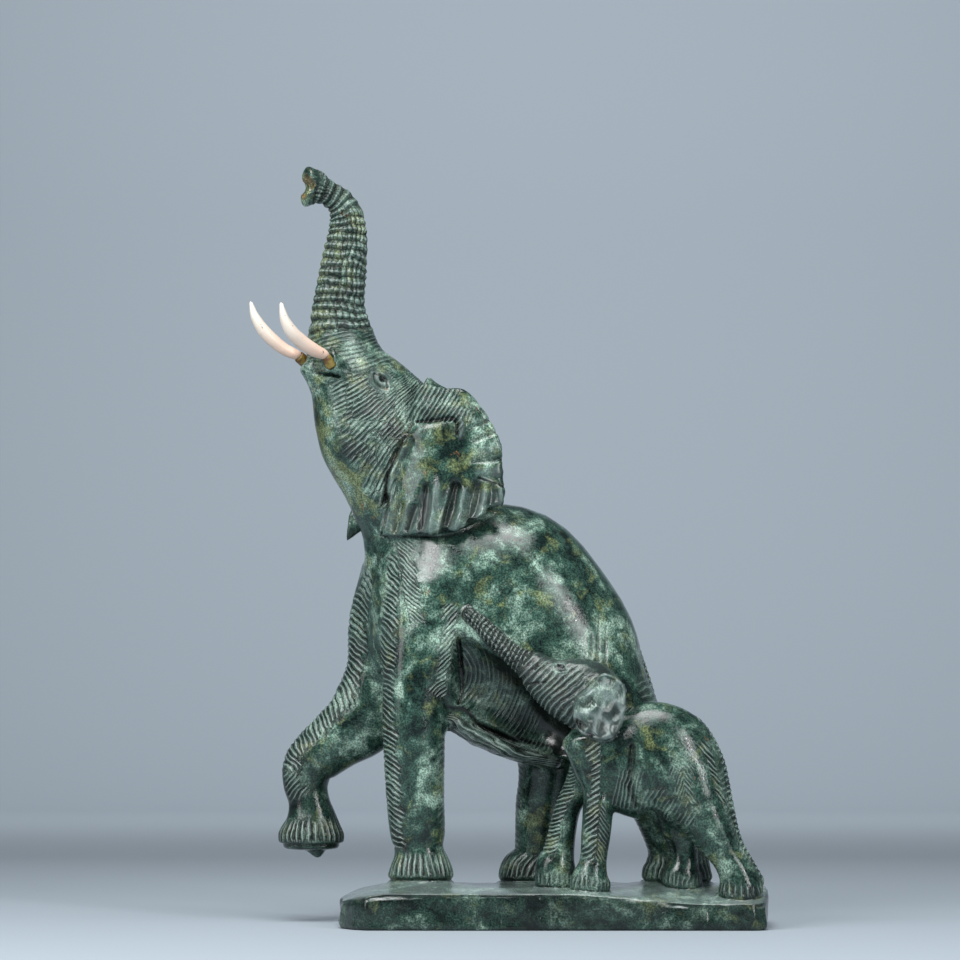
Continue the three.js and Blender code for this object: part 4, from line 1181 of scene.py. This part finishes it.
def bumpNode(tree, height, strength, distance):
    made = node(tree, "ShaderNodeBump")
    made.inputs["Strength"].default_value = strength
    made.inputs["Distance"].default_value = distance
    link(tree, height, made.inputs["Height"])
    return made


def newMaterial(name):
    made = bpy.data.materials.new(name)
    made.use_nodes = True
    tree = made.node_tree
    place = node(tree, "ShaderNodeTexCoord").outputs["Object"]
    return made, tree, tree.nodes["Principled BSDF"], place


def mottleGroup():
    made, start, end = group("mottle", [
        ("Vector", "NodeSocketVector", None),
        ("Vein", "NodeSocketFloat", 0.0),
        ("Dark", "NodeSocketColor", (0.004, 0.012, 0.010, 1)),
        ("Middle", "NodeSocketColor", (0.032, 0.074, 0.056, 1)),
        ("Pale", "NodeSocketColor", (0.225, 0.335, 0.270, 1)),
        ("Moss", "NodeSocketColor", (0.170, 0.205, 0.085, 1)),
        ("Rust", "NodeSocketColor", (0.210, 0.105, 0.045, 1))],
        [("Color", "NodeSocketColor"), ("Speckle", "NodeSocketFloat")])
    v, vein = start.outputs["Vector"], start.outputs["Vein"]
    cloud = noiseNode(made, v, 24.0, 6.0, 0.62, 0.7)
    veil = noiseNode(made, v, 85.0, 3.0, 0.55, 0.5)
    grain = noiseNode(made, v, 760.0, 3.0, 0.7)
    mix = mathNode(made, "ADD", times(made, cloud, 0.66), times(made, veil, 0.34))
    body = mixNode(made, rampNode(made, mix, 0.38, 0.54), start.outputs["Dark"], start.outputs["Middle"])
    body = mixNode(made, rampNode(made, mix, 0.50, 0.64), body, start.outputs["Pale"])
    # Patches: colour, noise, how much a vein adds to it, where they begin and are full, how strong.
    patches = (
        ("Moss", (60.0, 4.0, 0.6, 0.5), 0.13, (0.54, 0.72), 0.6),
        ("Rust", (95.0, 4.0, 0.65, 0.6), 0.07, (0.66, 0.76), 0.6),
        ("Dark", (48.0, 3.0, 0.6, 1.0), 0.0, (0.54, 0.70), 0.7),
    )
    for name, look, pull, (low, high), share in patches:
        patch = mathNode(made, "ADD", noiseNode(made, v, *look), times(made, vein, pull))
        patch = times(made, rampNode(made, patch, low, high), share)
        body = mixNode(made, patch, body, start.outputs[name])
    speck = rampNode(made, grain, 0.40, 0.64)
    contrast = mixNode(made, speck, (0.3, 0.3, 0.3, 1), (1.8, 1.8, 1.8, 1))
    body = mixNode(made, 0.8, body, contrast, "MULTIPLY")
    link(made, body, end.inputs["Color"])
    link(made, speck, end.inputs["Speckle"])
    return made


def strokeGroup():
    # Crisp chisel lines: a cut in the middle of each stroke's cycle, coloured as painted shade, and a ridge
    # at its ends, coloured as a painted highlight.
    made, start, end = group("strokeLines", [
        ("Stroke", "NodeSocketFloat", 0.0),
        ("Score", "NodeSocketFloat", 0.0),
        ("Vector", "NodeSocketVector", None)],
        [("Cut", "NodeSocketFloat"), ("Ridge", "NodeSocketFloat"), ("Height", "NodeSocketFloat")])
    rough = noiseNode(made, start.outputs["Vector"], 300.0, 3.0, 0.7)
    waver = times(made, mathNode(made, "SUBTRACT", rough, 0.5), 0.5)
    cycle = mathNode(made, "FRACT", mathNode(made, "ADD", start.outputs["Stroke"], waver), 0.0)
    gap = mathNode(made, "ABSOLUTE", mathNode(made, "SUBTRACT", cycle, 0.5), 0.0)
    score = start.outputs["Score"]
    cut = times(made, rampNode(made, gap, 0.20, 0.03), score)
    ridge = times(made, rampNode(made, gap, 0.33, 0.47), score)
    height = mathNode(made, "SUBTRACT", times(made, ridge, 0.4), cut)
    link(made, cut, end.inputs["Cut"])
    link(made, ridge, end.inputs["Ridge"])
    link(made, height, end.inputs["Height"])
    return made


def stoneMaterial(mottle, lines):
    made, tree, shader, place = newMaterial("polishedGreenStone")
    marks = {name: node(tree, "ShaderNodeAttribute", attribute_name=name).outputs["Fac"]
             for name in Marks.painted}
    colour = node(tree, "ShaderNodeGroup", node_tree=mottle)
    link(tree, place, colour.inputs["Vector"])
    link(tree, marks["vein"], colour.inputs["Vein"])
    cutting = []
    for cycles, amount in (("stroke", "score"), ("beads", "strung")):
        stroke = node(tree, "ShaderNodeGroup", node_tree=lines)
        link(tree, marks[cycles], stroke.inputs["Stroke"])
        link(tree, marks[amount], stroke.inputs["Score"])
        link(tree, place, stroke.inputs["Vector"])
        cutting.append(stroke.outputs)
    ridges = cutting[0]["Ridge"]
    cutLines = mathNode(tree, "MAXIMUM", cutting[0]["Cut"], cutting[1]["Cut"])
    heights = mathNode(tree, "ADD", cutting[0]["Height"], cutting[1]["Height"])
    # Grey dust with painted sheen, pale unpolished stone, painted shade in creases and hollows, painted
    # highlights on the ridges and painted shade in the cuts.
    grey = mixNode(tree, times(tree, marks["ash"], 0.6), colour.outputs["Color"], stone["dustAndSheenColour"])
    dusty = mixNode(tree, times(tree, marks["fresh"], 0.10), grey, stone["dustColour"])
    shade = mixNode(tree, times(tree, marks["dark"], 0.95), dusty, stone["paintedShadeColour"])
    ridged = mixNode(tree, times(tree, ridges, 0.5), shade, stone["ridgeHighlightColour"])
    cut = mixNode(tree, times(tree, cutLines, 0.85), ridged, stone["cutShadeColour"])
    link(tree, cut, shader.inputs["Base Color"])
    shader.inputs["Specular IOR Level"].default_value = stone["gleam"]
    worn = mathNode(tree, "ADD", times(tree, marks["fresh"], 0.12), times(tree, marks["dark"], 0.06))
    cloudy = times(tree, colour.outputs["Speckle"], 0.06)
    rough = mathNode(tree, "ADD", mathNode(tree, "ADD", worn, cloudy), stone["rough"])
    link(tree, rough, shader.inputs["Roughness"])
    fine = bumpNode(tree, colour.outputs["Speckle"], 0.12, 0.0003)
    bump = bumpNode(tree, heights, 0.8, 0.0007)
    link(tree, fine.outputs["Normal"], bump.inputs["Normal"])
    link(tree, bump.outputs["Normal"], shader.inputs["Normal"])
    return made


stoneSkin.data.materials.append(stoneMaterial(mottleGroup(), strokeGroup()))
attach(stoneSkin, "root")
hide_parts(stone["node"])


def makeTusk(name, rows):
    path, tangent, side, up = frames(rows, acrossHead, 8)
    count = tusk["sides"]
    angle = np.arange(count) * 2 * pi / count
    rings = []
    tip = path[-1, :3] + tangent[-1] * 1.6
    root = path[0, :3] - tangent[0] * 2.0
    for i, row in enumerate(path):
        ring = row[:3] + np.outer(np.cos(angle) * row[3], up[i]) + np.outer(np.sin(angle) * row[4], side[i])
        rings.append(ring)
    points = np.vstack(rings + [root[None], tip[None]])
    points[:-2] += (noise(points[:-2], 4, tusk["seed"]) * tusk["wobble"])[:, None] * (0.5, 0.5, 0.5)
    faces = []
    n = len(path)
    for i in range(n - 1):
        for k in range(count):
            a, b = i * count + k, i * count + (k + 1) % count
            faces += [(a, a + count, b), (b, a + count, b + count)]
    for k in range(count):
        faces.append((n * count, k, (k + 1) % count))
        faces.append((n * count + 1, (n - 1) * count + (k + 1) % count, (n - 1) * count + k))
    made = makeMesh(name + "Skin", points, np.array(faces))
    along = made.data.attributes.new("along", "FLOAT", "POINT")
    share = np.append(np.repeat(np.arange(n) / (n - 1), count), (0, 1))
    along.data.foreach_set("value", share.astype(np.float32))
    return made


def ivoryMaterial():
    made, tree, shader, place = newMaterial("ivoryWhite")
    along = node(tree, "ShaderNodeAttribute", attribute_name="along").outputs["Fac"]
    streak = rampNode(tree, noiseNode(tree, place, 120.0, 3.0), 0.5, 0.75)
    blush = mathNode(tree, "ADD", rampNode(tree, along, 0.95, 0.25), times(tree, streak, 0.3))
    colour = mixNode(tree, mathNode(tree, "MINIMUM", blush, 1.0), tusk["white"], tusk["blush"])
    speck = rampNode(tree, noiseNode(tree, place, 420.0, 2.0), 0.70, 0.76)
    link(tree, mixNode(tree, speck, colour, tusk["speck"]), shader.inputs["Base Color"])
    shader.inputs["Roughness"].default_value = tusk["rough"]
    return made


def glueMaterial():
    made, tree, shader, place = newMaterial("amberGlue")
    blot = rampNode(tree, noiseNode(tree, place, 220.0, 3.0), 0.4, 0.62)
    link(tree, mixNode(tree, blot, glue["dark"], glue["amber"]), shader.inputs["Base Color"])
    shader.inputs["Roughness"].default_value = glue["rough"]
    return made


def makeCollar(name, rows):
    # A lump of glue round the root of a tusk, hollow where the tusk goes through.
    ends = np.array([row[:3] for row in collars[name]])
    block = Block(ends.min(0) - 12, ends.max(0) + 12, glue["detail"])
    block.limb(collarLimb(collars[name]), join)
    core = [(*r[:3], r[3] + 0.25, r[4] + 0.25) for r in rows[:5]]
    block.limb((acrossHead, 2.0, 0.3, (2.2, 3), core), carveOut)
    vertices, faces = surfaceNet(block)
    vertices = relax(vertices, faces, 2)
    normal = normals(vertices, faces)
    lumps = glue["lump"] * noise(vertices, 3.5, glue["seed"]).clip(0)
    return makeMesh(name + "GlueSkin", vertices - normal * lumps[:, None], faces)


ivory, amber = ivoryMaterial(), glueMaterial()
for name, rows in tusks.items():
    made = makeTusk(name, rows)
    made.data.materials.append(ivory)
    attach(made, "root")
    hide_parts(name)
    collar = makeCollar(name, rows)
    collar.data.materials.append(amber)
    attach(collar, "root")
    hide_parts(name + "_glue")
print("tusks done")


def softLight(name, place, target, size, power):
    data = bpy.data.lights.new(name, "AREA")
    data.shape = "RECTANGLE"
    data.size, data.size_y = size
    data.energy = power
    made = bpy.data.objects.new(name, data)
    made.location = place
    made.rotation_euler = (Vector(target) - Vector(place)).to_track_quat("-Z", "Y").to_euler()
    bpy.context.collection.objects.link(made)


def makeBackdrop():
    # A floor that bends up into a wall.
    wide, start, bend, steps = (backdrop[key] for key in ("wide", "start", "bend", "steps"))
    profile = [(-backdrop["deep"], 0.0), (start, 0.0)]
    for i in range(1, steps + 1):
        a = pi / 2 * i / steps
        profile.append((start + bend * sin(a), bend - bend * cos(a)))
    profile.append((start + bend, backdrop["rise"]))
    points = [(s * wide, y, z) for y, z in profile for s in (-1, 1)]
    faces = [(2 * i, 2 * i + 1, 2 * i + 3, 2 * i + 2) for i in range(len(profile) - 1)]
    mesh = bpy.data.meshes.new("floor")
    mesh.from_pydata(points, [], faces)
    mesh.polygons.foreach_set("use_smooth", [True] * len(mesh.polygons))
    made = bpy.data.objects.new("floor", mesh)
    bpy.context.collection.objects.link(made)
    paint = bpy.data.materials.new("paleFloor")
    paint.use_nodes = True
    shader = paint.node_tree.nodes["Principled BSDF"]
    shader.inputs["Base Color"].default_value = backdrop["colour"]
    shader.inputs["Roughness"].default_value = backdrop["rough"]
    mesh.materials.append(paint)
    return made


# The stage is in metres.
camera = dict(place=(-0.0575, -3.0, 0.168), tiltUp=3.565, lens=140.625, sensor=36.0)
# A light: where it hangs, what it points at, its width and height, its watts.
lights = dict(
    key=((1.05, -1.52, 0.86), (0.04, 0, 0.2), (0.12, 1.25), 17),
    blotch=((-0.2, -1.35, 1.8), (-0.05, 0, 0.3), (0.16, 0.3), 5),
    over=((-0.1, -0.8, 2.4), (0, 0, 0.3), (1.5, 1.0), 54),
    front=((-0.95, -1.3, 1.2), (-0.15, 0, 0.42), (0.7, 0.5), 19),
    fill=((-1.7, -1.2, 0.9), (0, 0, 0.3), (0.6, 1.4), 13),
    wall=((0.1, 2.5, 2.0), (0.1, 4.7, 0.8), (3.6, 0.6), 58),
)
sky = dict(colour=(0.60, 0.68, 0.76, 1), strength=0.24)
backdrop = dict(
    wide=6.0,
    deep=5.0,
    start=3.5,
    bend=1.2,
    rise=5.0,
    steps=24,
    colour=(0.31, 0.36, 0.405, 1),
    rough=0.8,
)
data = bpy.data.cameras.new("camera")
data.lens = camera["lens"]
data.sensor_width = camera["sensor"]
data.clip_end = 60
eye = bpy.data.objects.new("camera", data)
eye.location = camera["place"]
eye.rotation_euler = (radians(90 + camera["tiltUp"]), 0, 0)
bpy.context.collection.objects.link(eye)
bpy.context.scene.camera = eye
for name, (place, target, size, power) in lights.items():
    softLight(name, place, target, size, power)
bpy.context.scene.view_settings.view_transform = "Standard"
world = bpy.data.worlds.new("world")
bpy.context.scene.world = world
world.use_nodes = True
air = world.node_tree.nodes["Background"]
air.inputs["Color"].default_value = sky["colour"]
air.inputs["Strength"].default_value = sky["strength"]
floor = makeBackdrop()
print("stage done")
